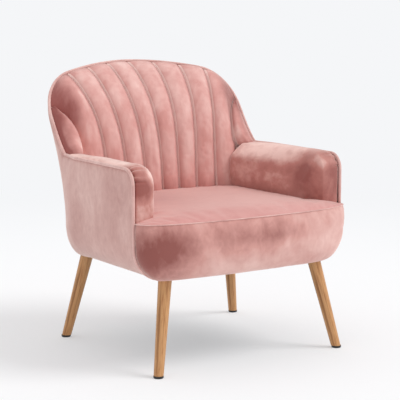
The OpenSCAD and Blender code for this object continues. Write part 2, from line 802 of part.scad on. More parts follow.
module seat_foam() {
    reach = seat_half - cloth - 2 * gap;
    spots = [-1, -0.8, -0.5, 0, 0.5, 0.8, 1];
    n = len(pad_stations) - 1;
    top = [for (i = [0 : n]) [for (u = spots)
        [u * reach, pad_stations[i], seat_top(u * reach, pad_stations[i]) - cloth - 3 * gap]]];
    bottom = [for (y = pad_stations) [for (u = spots) [u * reach, y, felt_z(y) + felt + gap]]];
    color(foam_color) slab(bottom, top);
}

module front_foam() {
    inset = cloth + gap;
    rises = [0, 0.35, 0.7, 0.96];
    angles = [for (i = [1 : len(nose_angles) - 2]) nose_angles[i]];
    front = [for (f = angles) [for (p = nose_line(f, inset, rises))
        [p[0], min(p[1], seat_front_end - 1), p[2]]]];
    back = [for (line = front) [for (p = line) [p[0] * 0.985, seat_front_end, p[2]]]];
    color(foam_color) difference() {
        slab(back, front);
        translate([-half, front_rail_y - gap, 0]) cube([2 * half, nose_depth, frame_top + 8]);
    }
}

// Cross-section of an arm's padding: distance inward from the side, height above the welt's line
function arm_profile(inset, end) =
    let (start = welt_room + inset, width = arm_thickness - start - inset)
    [for (p = [[0, 0], [0.14, 0.65], [0.38, 1], [0.62, 0.7], [0.8, -0.02]])
        [start + p[0] * width, p[1] * arm_crest - inset, end],
     [start + 0.92 * width, -0.38 * arm_roll - inset, end],
     [arm_thickness - inset, -arm_roll - inset, end]];
arm_bottom = seat_z - 15;
arm_end = back_joint - 5;

// Outline of an arm seen from its side, grown by p[1]: up the front, round the corner, back.
// p[0] is the distance inward from the side panel, p[2] the rear end; the outside follows the corner.
function arm_outline(p) =
    let (
        o = p[1],
        forward_o = o > 0 ? 0.3 * o : o,
        r = max(arm_corner_radius + o, 3),
        cy = arm_front - forward_o + r,
        cz = arm_z + o - r,
        side = concat(
            [[arm_front - forward_o, arm_bottom]],
            [for (a = [180, 157.5, 135, 112.5, 90]) [cy + r * cos(a), cz + r * sin(a)]],
            [[(cy + turn_start) / 2, arm_z + o]],
            [for (i = [0 : 3]) [turn_start + (arm_end - turn_start) * i / 4, arm_z + o]],
            [[p[2], arm_z + o]]
        )
    )
    [for (q = side) [arm_x(p[0], q[0]), q[0], q[1]]];
function arm_x(a, y) =
    let (t = arm_thickness - a, share = min(1, t / (arm_thickness - welt_room)))
    seat_half + t - (half - arm_edge_x(max(y, arm_front))) * share * share;

module arm_foam() {
    inset = cloth + gap;
    end = arm_end - 12;
    rings = [for (p = arm_profile(inset, end)) concat(arm_outline(p), [[arm_x(p[0], end), end, arm_bottom]])];
    color(foam_color) difference() {
        loft(rings);
        translate([seat_half + arm_pad - gap, front_post_y - gap, 0])
            cube([arm_thickness, depth, arm_rail_z + ply + gap]);
    }
}
module arm_foam_left() { on_side(-1) arm_foam(); }
module arm_foam_right() { on_side(1) arm_foam(); }

back_foam_thickness = 12;
fan_rows = [0.02, 0.2, 0.4, 0.55, 0.7, 0.8, 0.9];
fan_spots = [0.1, 0.3, 0.5, 0.7, 0.9];
module back_foam() {
    edge = seam_count - 0.1;
    cols = concat([-edge], [for (i = [-2 * seam_count + 1 : 2 * seam_count - 1]) i / 2], [edge]);
    start = cloth + 4 * gap;
    front = [for (v = fan_rows) [for (j = cols) fan_point(j, v, false, start)]];
    back = [for (v = fan_rows) [for (j = cols) fan_point(j, v, false, start + back_foam_thickness)]];
    color(foam_color) slab(back, front);
}

module channel_fillings() {
    rows = fan_rows;
    color("#f6f4ef") {
        for (j = [-seam_count : seam_count - 1]) slab(
            [for (v = rows) [for (s = fan_spots) fan_point(j + s, v, false, cloth + gap - 0.1)]],
            [for (v = rows) [for (s = fan_spots) fan_point(j + s, v, true, cloth + gap)]]
        );
        both_sides() slab(
            [for (w = rows) [for (s = fan_spots) wing_point(s, w, false, cloth + gap - 0.1)]],
            [for (w = rows) [for (s = fan_spots) wing_point(s, w, true, cloth + gap)]]
        );
    }
}

// ---- Boards behind the outside covers ----

side_stations = concat(
    [for (d = [welt_room, 12, 28, 60]) arm_front + d],
    [for (t = [0, 0.3, 0.55, 0.8]) turn_start + arm_turn * t]);
side_places = [0, 0.08, 0.16, 0.24, 0.32, 0.4, 0.49, corner_seam_q];
rear_places = [corner_seam_q + 0.005, 0.64, 0.7, 0.76, 0.84, 0.92, 1];

module side_board() {
    inset = cloth + gap;
    rises = [0, 0.2, 0.4, 0.6, 0.8];
    function wall(i) = concat(
        [for (y = concat([front_post_y], [for (k = [4 : 7]) side_stations[k]])) side_line(y, i, rises)],
        [for (k = [0 : 6]) back_line(side_places[k], i, rises)]
    );
    color("#b9a88c") slab(wall(inset), wall(inset + board));
}
module side_board_left() { on_side(-1) side_board(); }
module side_board_right() { on_side(1) side_board(); }

module back_board() {
    inset = cloth + gap;
    rises = [0, 0.15, 0.3, 0.45, 0.6, 0.75];
    places = [for (k = [1 : len(rear_places) - 1]) rear_places[k]];
    function mirrored(line) = [for (p = line) [-p[0], p[1], p[2]]];
    function wall(i) = concat(
        [for (q = places) back_line(q, i, rises)],
        [for (k = [len(places) - 2 : -1 : 0]) mirrored(back_line(places[k], i, rises))]
    );
    color("#b9a88c") slab(wall(inset), wall(inset + board));
}

// ---- Velvet covers ----

module seat_top_cover() {
    angles = [for (i = [0 : 16]) 176 - 172 * i / 16];
    inner = seat_half - 1;
    wide = half - 2 * cloth;
    join = seat_front_end - 2;
    function across(y, w) = [for (f = angles)
        let (x = max(-1, min(1, nose_foot(f)[0] / half)) * w) [x, y, seat_top(x, y)]];
    top = concat(
        [[for (f = angles) let (p = nose_foot(f)) [p[0] * 0.98, p[1] + 3, seat_z]]],
        [[for (f = angles) let (p = nose_foot(f), x = p[0] * 0.975, y = p[1] + 3 + (join - p[1] - 3) * 0.45)
            [x, y, seat_top(x, y)]]],
        [across(join, wide)],
        [for (y = pad_stations) across(y, inner)]
    );
    color(velvet) slab([for (row = top) [for (p = row) p - [0, 0, cloth]]], top);
}

module front_border_cover() {
    rises = [0, 0.35, 0.7, 1];
    color(velvet) slab([for (f = nose_angles) nose_line(f, cloth, rises)],
        [for (f = nose_angles) nose_line(f, 0, rises)]);
}

module arm_cover() {
    function sheet(i) = concat(
        [for (p = arm_profile(i, arm_end)) arm_outline(p)],
        [let (ring = arm_outline([arm_thickness - i, -arm_roll - i, arm_end]))
            let (start = ring[0][1] + 8, n = len(ring) - 1)
            [for (k = [0 : n]) [seat_half + i, start + (arm_end - start) * k / n, arm_bottom - 5]]]
    );
    color(velvet_light) slab(sheet(cloth), sheet(0));
}
module arm_cover_left() { on_side(-1) arm_cover(); }
module arm_cover_right() { on_side(1) arm_cover(); }

module side_cover() {
    function wall(i) = concat(
        [for (y = side_stations) concat(tucked(side_foot(y), i), side_line(y, i, side_rises))],
        [for (q = side_places) concat(tucked(back_foot_point(q), i), back_line(q, i, side_rises))]
    );
    color(velvet_light) slab(wall(0), wall(cloth));
}
module side_cover_left() { on_side(-1) side_cover(); }
module side_cover_right() { on_side(1) side_cover(); }

module back_outer_cover() {
    places = rear_places;
    function mirrored(line) = [for (p = line) [-p[0], p[1], p[2]]];
    function line(q, i) = concat(tucked(back_foot_point(q), i), back_line(q, i, back_rises));
    function wall(i) = concat(
        [for (q = places) line(q, i)],
        [for (k = [len(places) - 2 : -1 : 0]) mirrored(line(places[k], i))]
    );
    color(velvet_light) slab(wall(0), wall(cloth));
}

module back_channel_cover() {
    cols = concat([for (j = [-seam_count : seam_count - 1]) each [for (s = concat([0], fan_spots)) j + s]],
        [seam_count]);
    rows = concat([0], fan_rows, [0.98]);
    wing_spots = concat([0.012], fan_spots, [1]);
    function sheet(in) = [for (v = rows) [for (j = cols) fan_point(j, v, true, in)]];
    function wing(in) = [for (w = concat(wing_foot, rows)) [for (s = wing_spots) wing_point(s, w, true, in)]];
    color(velvet) {
        slab(sheet(cloth), sheet(0));
        both_sides() slab(wing(cloth), wing(0));
    }
}

module dust_cover() {
    color("#26262a") translate([0, 0, under + gap]) linear_extrude(cloth - gap) difference() {
        polygon(floor_edge(cloth + gap));
        for (l = legs) translate([l[0] * leg_x, leg_y(l[1])]) circle(d = bolt_diameter + 6, $fn = 32);
    }
}

// ---- Piping ----

module side_welt() {
    r = arm_corner_radius;
    low = [for (a = [12, 24, 36, 48, 60, 75, 90])
        [half - tuck_radius + tuck_radius * sin(a), arm_front, under + tuck_radius - tuck_radius * cos(a)]];
    up = [for (z = [seat_z, seat_z + 45, arm_z - r]) [half, arm_front, z]];
    turn = [for (a = [165, 150, 135, 120, 105, 90])
        [half, arm_front + r + r * cos(a), arm_z - r + r * sin(a)]];
    straight = turn_start - arm_front - r;
    along = concat(
        [for (t = [0.3, 0.65]) [half, arm_front + r + straight * t, arm_z]],
        [for (i = [0 : 5]) let (y = turn_start + (arm_turn - welt_room) * i / 5) [arm_edge_x(y), y, arm_z]]);
    color(velvet_light) cord(concat(low, up, turn, along), welt_diameter, [1, -1, 0]);
}
module side_welt_left() { on_side(-1) side_welt(); }
module side_welt_right() { on_side(1) side_welt(); }

module back_welt() {
    rear = [for (k = [1 : len(rear_places) - 2]) rear_places[k]];
    right = [for (q = concat(side_places, rear)) edge_point(q)];
    left = [for (k = [len(right) - 1 : -1 : 0]) [-right[k][0], right[k][1], right[k][2]]];
    color(velvet_light) cord(concat(right, [edge_point(1)], left), welt_diameter, [0, 1, 0]);
}

seam_cord = 3;
module seat_welt() {
    route = [for (f = nose_angles) let (p = nose_foot(f), o = nose_out(f))
        [p[0] - o[0] * seam_cord / 2, p[1] - o[1] * seam_cord / 2, seat_z + seam_cord / 2 + gap]];
    color(velvet_light) cord(route, seam_cord, [0, 0, 1]);
}

leg_front_left();
leg_front_right();
leg_rear_left();
leg_rear_right();
leg_glides();
glide_nails();
leg_bolts();
leg_insert_nuts();
leg_blocks();
seat_front_rail();
seat_rear_rail();
seat_rail_left();
seat_rail_right();
arm_front_post_left();
arm_front_post_right();
arm_rear_post_left();
arm_rear_post_right();
arm_rail_left();
arm_rail_right();
back_post_left();
back_post_right();
back_top_rail();
back_lower_rail();
frame_screws();
seat_springs();
spring_clips();
spring_tie_wires();
back_webbing();
seat_pad_felt();
seat_foam();
front_foam();
arm_foam_left();
arm_foam_right();
back_foam();
channel_fillings();
side_board_left();
side_board_right();
back_board();
seat_top_cover();
front_border_cover();
arm_cover_left();
arm_cover_right();
side_cover_left();
side_cover_right();
back_channel_cover();
back_outer_cover();
side_welt_left();
side_welt_right();
back_welt();
seat_welt();
dust_cover();
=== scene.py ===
"""Looks of an upholstered armchair: velvet covers, piping, padded channels, oak legs and plastic glides.

All lengths are in metres. The front faces -Y, +X is to the right seen from the front, +Z is up. What the
chair has on both sides is made by functions of side: 1 is the right, -1 the left.
"""
import math

import bpy
import numpy as np
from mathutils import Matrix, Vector, noise


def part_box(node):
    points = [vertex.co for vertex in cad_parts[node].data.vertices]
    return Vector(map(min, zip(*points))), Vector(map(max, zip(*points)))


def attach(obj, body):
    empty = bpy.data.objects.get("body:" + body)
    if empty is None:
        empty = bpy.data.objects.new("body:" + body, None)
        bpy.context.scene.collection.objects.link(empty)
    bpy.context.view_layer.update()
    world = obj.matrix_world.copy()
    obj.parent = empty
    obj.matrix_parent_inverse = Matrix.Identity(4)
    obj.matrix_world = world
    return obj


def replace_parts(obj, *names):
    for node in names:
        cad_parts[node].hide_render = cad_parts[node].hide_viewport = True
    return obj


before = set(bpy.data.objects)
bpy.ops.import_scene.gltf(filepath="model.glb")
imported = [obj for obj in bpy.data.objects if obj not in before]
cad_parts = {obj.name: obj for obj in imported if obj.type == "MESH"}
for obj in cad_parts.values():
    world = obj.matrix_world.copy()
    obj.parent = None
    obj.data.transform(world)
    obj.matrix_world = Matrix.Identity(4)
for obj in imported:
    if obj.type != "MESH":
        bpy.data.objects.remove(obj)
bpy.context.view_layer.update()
MM = 0.001

# ---- Camera -------------------------------------------------------------------------------------

camera_data = bpy.data.cameras.new("camera")
camera_data.lens = 123.6
camera_data.sensor_width = 36
camera_data.clip_end = 60
camera = bpy.data.objects.new("camera", camera_data)
camera.location = (-1.9950, -3.1713, 0.9495)
camera.rotation_mode = "QUATERNION"
camera.rotation_quaternion = Vector((0.534, 0.832, -0.148)).to_track_quat("-Z", "Y")
bpy.context.scene.collection.objects.link(camera)
bpy.context.scene.camera = camera

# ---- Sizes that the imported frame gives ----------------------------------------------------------

CORD = 3.5 * MM                                     # radius of the covered piping cord
PROUD = 0.6 * MM                                    # how far the cord's cover stands out from it
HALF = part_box("side_cover_right")[1].x              # half of the width over the side panels
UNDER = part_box("side_cover_right")[0].z             # height of the underside
SEAM_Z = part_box("front_border_cover")[1].z + 0.3 * MM  # seam along the front of the seat
ARM_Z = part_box("side_welt_right")[1].z - CORD       # piping along the top of an arm
TOP_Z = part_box("back_welt")[1].z - CORD             # piping at the top of the back
FRONT_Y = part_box("front_border_cover")[0].y         # front of the seat
TOP_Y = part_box("back_welt")[1].y - CORD             # piping at the rear of the top edge
SEAT_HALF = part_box("arm_cover_right")[0].x          # half of the width between the arms
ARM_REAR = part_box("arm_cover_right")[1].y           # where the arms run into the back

# ---- Sizes of the covers' shapes, as the construction has them ----------------------------------

NOSE_DEPTH = 78 * MM                                # how far the seat's rounded front stands before the arms
NOSE_SWELL = 1 * MM                                 # how far its corners bulge
NOSE_UNDERCUT = 42 * MM                             # how far its foot is drawn in under the seat
SEAT_CROWN = 16 * MM                                # rise of the seat's middle over its seam
TUCK = 85 * MM                                      # height over which the covers turn under
REAR_TUCK = 36 * MM                                 # depth of that turn at the rear; at the sides it is TUCK
REAR_CORNER = 155 * MM                              # radius of the rear corners, seen from above
ARM_THICKNESS = HALF - SEAT_HALF
ARM_CORNER = 40 * MM                                # radius of an arm's front corner, seen from the side
BACK_LEAN = 119 * MM                                # how far the back reaches out behind its foot
BACK_FOOT = -FRONT_Y - BACK_LEAN
BACK_THICKNESS = 86 * MM
BACK_HALF = HALF - 11 * MM                          # half of the back's width, at its piping
CROWN_CORNER = 120 * MM                             # radius of the back's top corners, seen from the front
CROWN_RADIUS = 1060 * MM                            # radius of the top edge between them
CROWN_BOW = 60 * MM                                 # how far the top edge bows out to the rear
CROWN_BEND = 60 * MM                                # radius of the bend in its middle, seen from above
ARM_TURN = 84 * MM                                  # length over which a side turns in to the back
BACK_ROLL = 160 * MM                                # how far the top of the back's front rolls rearward
SEAMS = 4                                           # seams on each side of the middle one

ARM_FRONT = FRONT_Y + NOSE_DEPTH
SEAT_BACK = BACK_FOOT - BACK_THICKNESS              # crease between the seat and the back
BACK_JOINT = SEAT_BACK - 12 * MM                    # where an arm's piping meets the back's
LEGS = ("front_left", "front_right", "rear_left", "rear_right")
BODY = "root"


# ---- Small helpers ------------------------------------------------------------------------------

def smooth(low, high, value):
    """0 below low, 1 above high, and an S-curve between them."""
    t = np.clip((np.asarray(value, float) - low) / (high - low), 0, 1)
    return t * t * (3 - 2 * t)


def bump(value, centre, width):
    """A soft hill of height 1."""
    return np.exp(-((np.asarray(value, float) - centre) / width) ** 2)


def fade(distance, reach):
    """1 where the distance is 0, dying away over a reach."""
    return np.exp(-distance / reach)


def rising(distance, reach):
    """0 where the distance is 0, rising evenly to 1 at a reach."""
    return np.clip(distance / reach, 0, 1)


def cloud(points, size, seed=0.0, depth=3):
    """Smooth noise, about -1 to 1, at each point, with hills about as wide as size."""
    flat = np.asarray(points, float).reshape(-1, 3)
    shift = Vector((seed, seed * 1.7, seed * 0.6))
    values = [noise.fractal(Vector(p) / size + shift, 0.9, 2.1, depth) for p in flat]
    return np.array(values).reshape(np.asarray(points).shape[:-1])


def noise_line(value, size, seed=0.0):
    """Smooth noise along a line."""
    flat = np.asarray(value, float).ravel()
    return np.array([noise.noise(Vector((v / size, seed, 0.37))) * 2 for v in flat]).reshape(np.shape(value))


def hand(side):
    """The word for a side in the names of pieces and nodes."""
    return "right" if side > 0 else "left"


def mirror(side, *grids):
    """Moves grids that were made for the right over to the side that they are for."""
    for grid in grids:
        grid[..., 0] *= side


def both_halves(right):
    """Adds the left half to lines or points of the right half, which end on the middle line."""
    right = np.array(right)
    left = right[-2::-1].copy()
    mirror(-1, left)
    return np.concatenate([right, left])


def grid_faces(rows, cols, start=0, flip=False):
    """Quads between the points of a grid whose first point has the number start."""
    index = start + np.arange(rows * cols).reshape(rows, cols)
    quads = np.stack([index[:-1, :-1], index[:-1, 1:], index[1:, 1:], index[1:, :-1]], -1).reshape(-1, 4)
    return quads[:, ::-1] if flip else quads


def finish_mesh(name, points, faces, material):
    """Makes a smooth-shaded closed object, facing outward, that rides on the chair."""
    mesh = bpy.data.meshes.new(name)
    mesh.from_pydata([tuple(p) for p in points], [], [tuple(int(i) for i in f) for f in faces])
    mesh.validate()
    piece = bpy.data.objects.new(name, mesh)
    bpy.context.scene.collection.objects.link(piece)
    mesh.materials.append(material)
    mesh.polygons.foreach_set("use_smooth", [True] * len(mesh.polygons))
    mesh.update()
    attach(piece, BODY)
    face_outward(mesh)
    return piece


def face_outward(mesh):
    """Turns a closed mesh's faces so that they all look outward."""
    volume = 0.0
    for polygon in mesh.polygons:
        corners = [mesh.vertices[i].co for i in polygon.vertices]
        for k in range(1, len(corners) - 1):
            volume += corners[0].dot(corners[k].cross(corners[k + 1]))
    if volume < 0:
        mesh.flip_normals()


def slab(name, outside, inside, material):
    """A closed pad between two grids of points."""
    rows, cols = outside.shape[:2]
    total = rows * cols
    points = np.vstack([outside.reshape(-1, 3), inside.reshape(-1, 3)])
    faces = [grid_faces(rows, cols), grid_faces(rows, cols, total, flip=True)]
    index = np.arange(total).reshape(rows, cols)
    for edge in (index[0], index[:, -1], index[-1, ::-1], index[::-1, 0]):
        faces.append(np.stack([edge[1:], edge[:-1], edge[:-1] + total, edge[1:] + total], -1))
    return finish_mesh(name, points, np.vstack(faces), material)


def store_nap_and_painted_light(piece, grid, pile_and_painted_light):
    """Stores over a piece's outer grid how the pile lies and where shade and highlights are painted: +1 pale,
    -1 deep.
    """
    values = np.zeros(len(piece.data.vertices))
    values[:grid.shape[0] * grid.shape[1]] = np.broadcast_to(pile_and_painted_light, grid.shape[:2]).ravel()
    piece.data.attributes.new("nap_and_painted_light", "FLOAT", "POINT").data.foreach_set("value", values)


def oval_patches(grid, axes, marks):
    """Soft oval patches that deepen or pale the colour, added up; on some pieces they are painted shade and
    highlights.

    Each mark has its strength, its centre and size along two of the axes, and the angle it is turned by."""
    total = 0.0
    for strength, centre, size, turn in marks:
        a, b = grid[..., axes[0]] - centre[0], grid[..., axes[1]] - centre[1]
        c, s = math.cos(turn), math.sin(turn)
        oval = ((a * c + b * s) / size[0]) ** 2 + ((b * c - a * s) / size[1]) ** 2
        total = total + strength * np.exp(-oval)
    return total


def outward_normals(grid, towards):
    """Unit normals of a grid of points, on the side that the direction towards is on."""
    normal = np.cross(np.gradient(grid, axis=0), np.gradient(grid, axis=1))
    normal = normal / np.maximum(np.linalg.norm(normal, axis=-1, keepdims=True), 1e-9)
    return normal * np.sign((normal @ towards).mean())


def along_route(route):
    """Distance from the start of a route to each of its points."""
    steps = np.linalg.norm(np.diff(route, axis=0), axis=1)
    return np.concatenate([[0], np.cumsum(steps)])


def points_at(route, place, wanted, passes):
    """Points at the wanted distances along a route, with its corners eased by a number of passes."""
    line = np.stack([np.interp(wanted, place, axis) for axis in route.T], -1)
    for _ in range(passes):
        line[1:-1] = (line[:-2] + 2 * line[1:-1] + line[2:]) / 4
    return line


# ---- Cloth --------------------------------------------------------------------------------------

CLOTH_FRAMES = 20                                   # steps that the covers are given to swell
HELD_LEVELS = 20                                    # fineness with which a seam's hold on its cover fades out
SINK = 0.2 * MM                                     # how far the stuffing lets a cover sink
# velvet that hardly stretches, cut a little too large and pushed out by its stuffing
VELVET_CLOTH = dict(quality=4, mass=0.25, air_damping=4, tension_stiffness=12, compression_stiffness=8,
                    shear_stiffness=4, bending_stiffness=2.5, use_pressure=True, uniform_pressure_force=4,
                    shrink_min=-0.008, vertex_group_mass="sewn")
to_swell = []


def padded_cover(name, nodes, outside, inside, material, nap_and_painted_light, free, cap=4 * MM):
    """A cover and its stuffing between two grids, in the place of construction nodes.

    nap is how the pile lies and where shade and highlights are painted. free is how freely each point of the
    outer grid swells, 0 at a seam, and no point moves further than cap."""
    piece = slab(name, outside, inside, material)
    if nodes:
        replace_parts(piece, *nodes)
    store_nap_and_painted_light(piece, outside, nap_and_painted_light)
    to_swell.append((piece, np.broadcast_to(free, outside.shape[:2]).ravel(), cap))


def held_round(grid, steps):
    """Freedom of a grid's points: 0 along its four edges, rising to 1 over a number of steps."""
    row, column = (np.minimum(np.arange(size), np.arange(size)[::-1]) for size in grid.shape[:2])
    return rising(np.minimum(row[:, None], column[None, :]), steps)


def coordinates(mesh):
    """A mesh's points, one in each row."""
    values = np.empty(len(mesh.vertices) * 3)
    mesh.vertices.foreach_get("co", values)
    return values.reshape(-1, 3)


def swell_covers():
    """Runs the cloth simulation on all padded covers together and keeps the shape that it gives them."""
    scene = bpy.context.scene
    for piece, free, cap in to_swell:
        group = piece.vertex_groups.new(name="sewn")
        weights = np.ones(len(piece.data.vertices))
        weights[:len(free)] = 1 - free
        for level in range(HELD_LEVELS + 1):
            members = np.nonzero(np.round(weights * HELD_LEVELS) == level)[0]
            group.add([int(i) for i in members], level / HELD_LEVELS, "REPLACE")
        cloth = piece.modifiers.new("cloth", "CLOTH")
        cloth.point_cache.frame_end = CLOTH_FRAMES
        for key, value in VELVET_CLOTH.items():
            setattr(cloth.settings, key, value)
        cloth.settings.effector_weights.gravity = 0
        cloth.collision_settings.use_collision = False
    for number in range(1, CLOTH_FRAMES + 1):
        scene.frame_set(number)
    graph = bpy.context.evaluated_depsgraph_get()
    for piece, free, cap in to_swell:
        before = coordinates(piece.data)
        outward = np.empty(before.size)
        piece.data.vertices.foreach_get("normal", outward)
        outward = outward.reshape(-1, 3)
        moved = coordinates(piece.evaluated_get(graph).to_mesh()) - before
        piece.modifiers.clear()
        sunk = (moved * outward).sum(1, keepdims=True)
        moved += outward * (np.maximum(sunk, -SINK) - sunk)
        moved[len(free):] = 0
        length = np.linalg.norm(moved, axis=1, keepdims=True)
        moved *= np.minimum(1, cap * np.tanh(length / cap) / np.maximum(length, 1e-9))
        piece.data.vertices.foreach_set("co", (before + moved).ravel())
        piece.data.update()
    scene.frame_set(1)


# ---- Materials ----------------------------------------------------------------------------------

def srgb(code):
    """sRGB hex colour to linear."""
    values = [int(code[k:k + 2], 16) / 255 for k in (1, 3, 5)]
    return [v / 12.92 if v <= 0.04045 else ((v + 0.055) / 1.055) ** 2.4 for v in values] + [1.0]


def new_material(name):
    """A material without nodes."""
    material = bpy.data.materials.new(name)
    material.use_nodes = True
    material.node_tree.nodes.clear()
    return material


def add(owner, kind, settings=None, inputs=None, stops=None, **constants):
    """Adds a node to a material or the world.

    settings are its properties. inputs gives its sockets, by name or number, a link or a value, and constants
    does so by name, with _ for a space. stops are a colour ramp's places and hex colours."""
    node = owner.node_tree.nodes.new(kind)
    for key, value in (settings or {}).items():
        setattr(node, key, value)
    for key, value in constants.items():
        node.inputs[key.replace("_", " ")].default_value = value
    for key, source in (inputs or {}).items():
        if isinstance(source, bpy.types.NodeSocket):
            owner.node_tree.links.new(source, node.inputs[key])
        else:
            node.inputs[key].default_value = source
    if stops:
        elements = node.color_ramp.elements
        while len(elements) < len(stops):
            elements.new(0.5)
        for element, (place, colour) in zip(elements, stops):
            element.position = place
            element.color = srgb(colour)
    return node


def hills(size_mm):
    """Scale of a noise whose hills are about as wide as a real size."""
    return 0.9 * 1000 / size_mm


def velvet_material(name, colours, streak=(1, 1, 0.4), patch_mm=90, contrast=0.17, mottle=1.0, sheen=1.0):
    """Short-pile polyester velvet, woven, dyed and brushed: pale at a glancing view, deep seen square on.

    colours are the deep, middle and pale ends of the colour that each piece's stored value picks; that value
    holds how the pile lies as well as painted shade and highlights. Hands leave patches about patch_mm wide,
    as strong as mottle says, drawn out along the axes where streak is below 1."""
    dark, middle, light = colours
    material = new_material(name)
    place = add(material, "ShaderNodeTexCoord").outputs["Object"]
    brushed = add(material, "ShaderNodeMapping", {}, {"Vector": place}, Scale=streak).outputs["Vector"]
    patches = add(material, "ShaderNodeTexNoise", {}, {"Vector": brushed},
                  Scale=hills(patch_mm), Detail=5.0, Roughness=0.56, Distortion=0.6)
    # strokes of the brush are about 11 mm wide
    strokes = add(material, "ShaderNodeTexNoise", {}, {"Vector": brushed},
                  Scale=hills(11.25), Detail=3.0, Roughness=0.55, Distortion=0.5)
    blend = add(material, "ShaderNodeMix", {"data_type": "FLOAT"},
                {0: 0.28, 2: patches.outputs["Fac"], 3: strokes.outputs["Fac"]})
    # the value stored on each piece: how the pile lies, with painted shade and highlights
    left = add(material, "ShaderNodeAttribute", {"attribute_name": "nap_and_painted_light"}).outputs["Fac"]
    marks = add(material, "ShaderNodeMath", {"operation": "MULTIPLY_ADD"},
                {0: blend.outputs[0], 1: mottle, 2: 0.5 * (1 - mottle)})
    pile_and_painted_light = add(material, "ShaderNodeMath", {"operation": "MULTIPLY_ADD"},
              {0: left, 1: 1.3 * contrast, 2: marks.outputs[0]})
    nap_and_painted_light = add(material, "ShaderNodeValToRGB", {}, {"Fac": pile_and_painted_light.outputs[0]},
              [(max(0, 0.5 - 1.45 * contrast), dark), (0.5, middle), (0.5 + 1.25 * contrast, light)])
    # tufts of pile are 0.4 mm apart, drawn at 1.1 mm so that they show
    pile = add(material, "ShaderNodeTexNoise", {}, {"Vector": place},
               Scale=hills(1.125), Detail=2.0, Roughness=0.6)
    relief = add(material, "ShaderNodeBump", {}, {"Height": pile.outputs["Fac"]},
                 Strength=0.22, Distance=0.6 * MM)
    soft = add(material, "ShaderNodeBump", {},
               {"Height": blend.outputs[0], "Normal": relief.outputs["Normal"]},
               Strength=0.3, Distance=4 * MM)
    cloth = add(material, "ShaderNodeBsdfPrincipled", {},
                {"Base Color": nap_and_painted_light.outputs["Color"], "Normal": soft.outputs["Normal"]}, Roughness=0.85,
                Specular_IOR_Level=0.2, Sheen_Weight=sheen, Sheen_Roughness=0.5, Sheen_Tint=srgb("#ffe9e2"))
    add(material, "ShaderNodeOutputMaterial", {}, {"Surface": cloth.outputs["BSDF"]})
    return material


def oak_material(name, foot, top, light, dark, grain_mm=3.0):
    """Oak, turned and lacquered satin: long open grain up the leg, with darker pores under a soft gloss."""
    material = new_material(name)
    place = add(material, "ShaderNodeTexCoord").outputs["Object"]
    lean = (Vector(top) - Vector(foot)).rotation_difference(Vector((0, 0, 1)))
    turned = add(material, "ShaderNodeMapping", {"vector_type": "TEXTURE"}, {"Vector": place},
                 Location=foot, Rotation=lean.inverted().to_euler()).outputs["Vector"]
    # the grain is drawn out along the leg: bands four grains wide, and pores
    drawn = add(material, "ShaderNodeMapping", {}, {"Vector": turned}, Scale=(1, 1, 0.045)).outputs["Vector"]
    rings = add(material, "ShaderNodeTexNoise", {}, {"Vector": drawn},
                Scale=1000 / (4 * grain_mm), Detail=3.0, Roughness=0.5, Distortion=0.6)
    pores = add(material, "ShaderNodeTexNoise", {}, {"Vector": drawn},
                Scale=1000 / grain_mm * 1.3, Detail=4.0, Roughness=0.65)
    body = add(material, "ShaderNodeValToRGB", {}, {"Fac": rings.outputs["Fac"]},
               [(0.30, dark), (0.47, light), (0.72, light)])
    line = add(material, "ShaderNodeValToRGB", {}, {"Fac": pores.outputs["Fac"]},
               [(0.30, "#b98f63"), (0.52, "#ffffff")])
    mixed = add(material, "ShaderNodeMix", {"data_type": "RGBA", "blend_type": "MULTIPLY"},
                {0: 0.8, 6: body.outputs["Color"], 7: line.outputs["Color"]})
    relief = add(material, "ShaderNodeBump", {}, {"Height": pores.outputs["Fac"]},
                 Strength=0.2, Distance=0.4 * MM)
    wood = add(material, "ShaderNodeBsdfPrincipled", {},
               {"Base Color": mixed.outputs[2], "Normal": relief.outputs["Normal"]},
               Roughness=0.42, Specular_IOR_Level=0.4)
    add(material, "ShaderNodeOutputMaterial", {}, {"Surface": wood.outputs["BSDF"]})
    return material


def mottled_finish(name, base, second, scale, roughness, metallic=0.0, bump_mm=0.2, stretch=(1, 1, 1)):
    """A finish with fine mottling in two colours, base and second, with scale grains in a metre."""
    material = new_material(name)
    place = add(material, "ShaderNodeTexCoord").outputs["Object"]
    laid = add(material, "ShaderNodeMapping", {}, {"Vector": place}, Scale=stretch).outputs["Vector"]
    grain = add(material, "ShaderNodeTexNoise", {}, {"Vector": laid}, Scale=scale, Detail=4.0, Roughness=0.6)
    colour = add(material, "ShaderNodeValToRGB", {}, {"Fac": grain.outputs["Fac"]},
                 [(0.35, base), (0.65, second)])
    relief = add(material, "ShaderNodeBump", {}, {"Height": grain.outputs["Fac"]},
                 Strength=0.3, Distance=bump_mm * MM)
    surface = add(material, "ShaderNodeBsdfPrincipled", {},
                  {"Base Color": colour.outputs["Color"], "Normal": relief.outputs["Normal"]},
                  Roughness=roughness, Metallic=metallic)
    add(material, "ShaderNodeOutputMaterial", {}, {"Surface": surface.outputs["BSDF"]})
    return material


# thin and papery: near black and quite dull
lining = mottled_finish("spun-bonded lining", "#1f1f22", "#2f2f33", 650, 0.95)
# the back is brushed in long upright strokes; its palest colour goes to the painted highlight on the lips of
# the seams and its deepest to the painted shade on their flanks
velvet_back = velvet_material("brushed velvet back", ("#9a5651", "#d89c95", "#ffe0d8"), streak=(1, 1, 0.3),
                              patch_mm=55, contrast=0.30, mottle=0.5, sheen=0.75)
# the seat's pile is pressed down by sitting: deeper, with broad patches
velvet_seat = velvet_material("brushed velvet seat", ("#b86f6d", "#cb8783", "#da9c97"), streak=(0.6, 0.6, 1),
                              patch_mm=130, contrast=0.22)
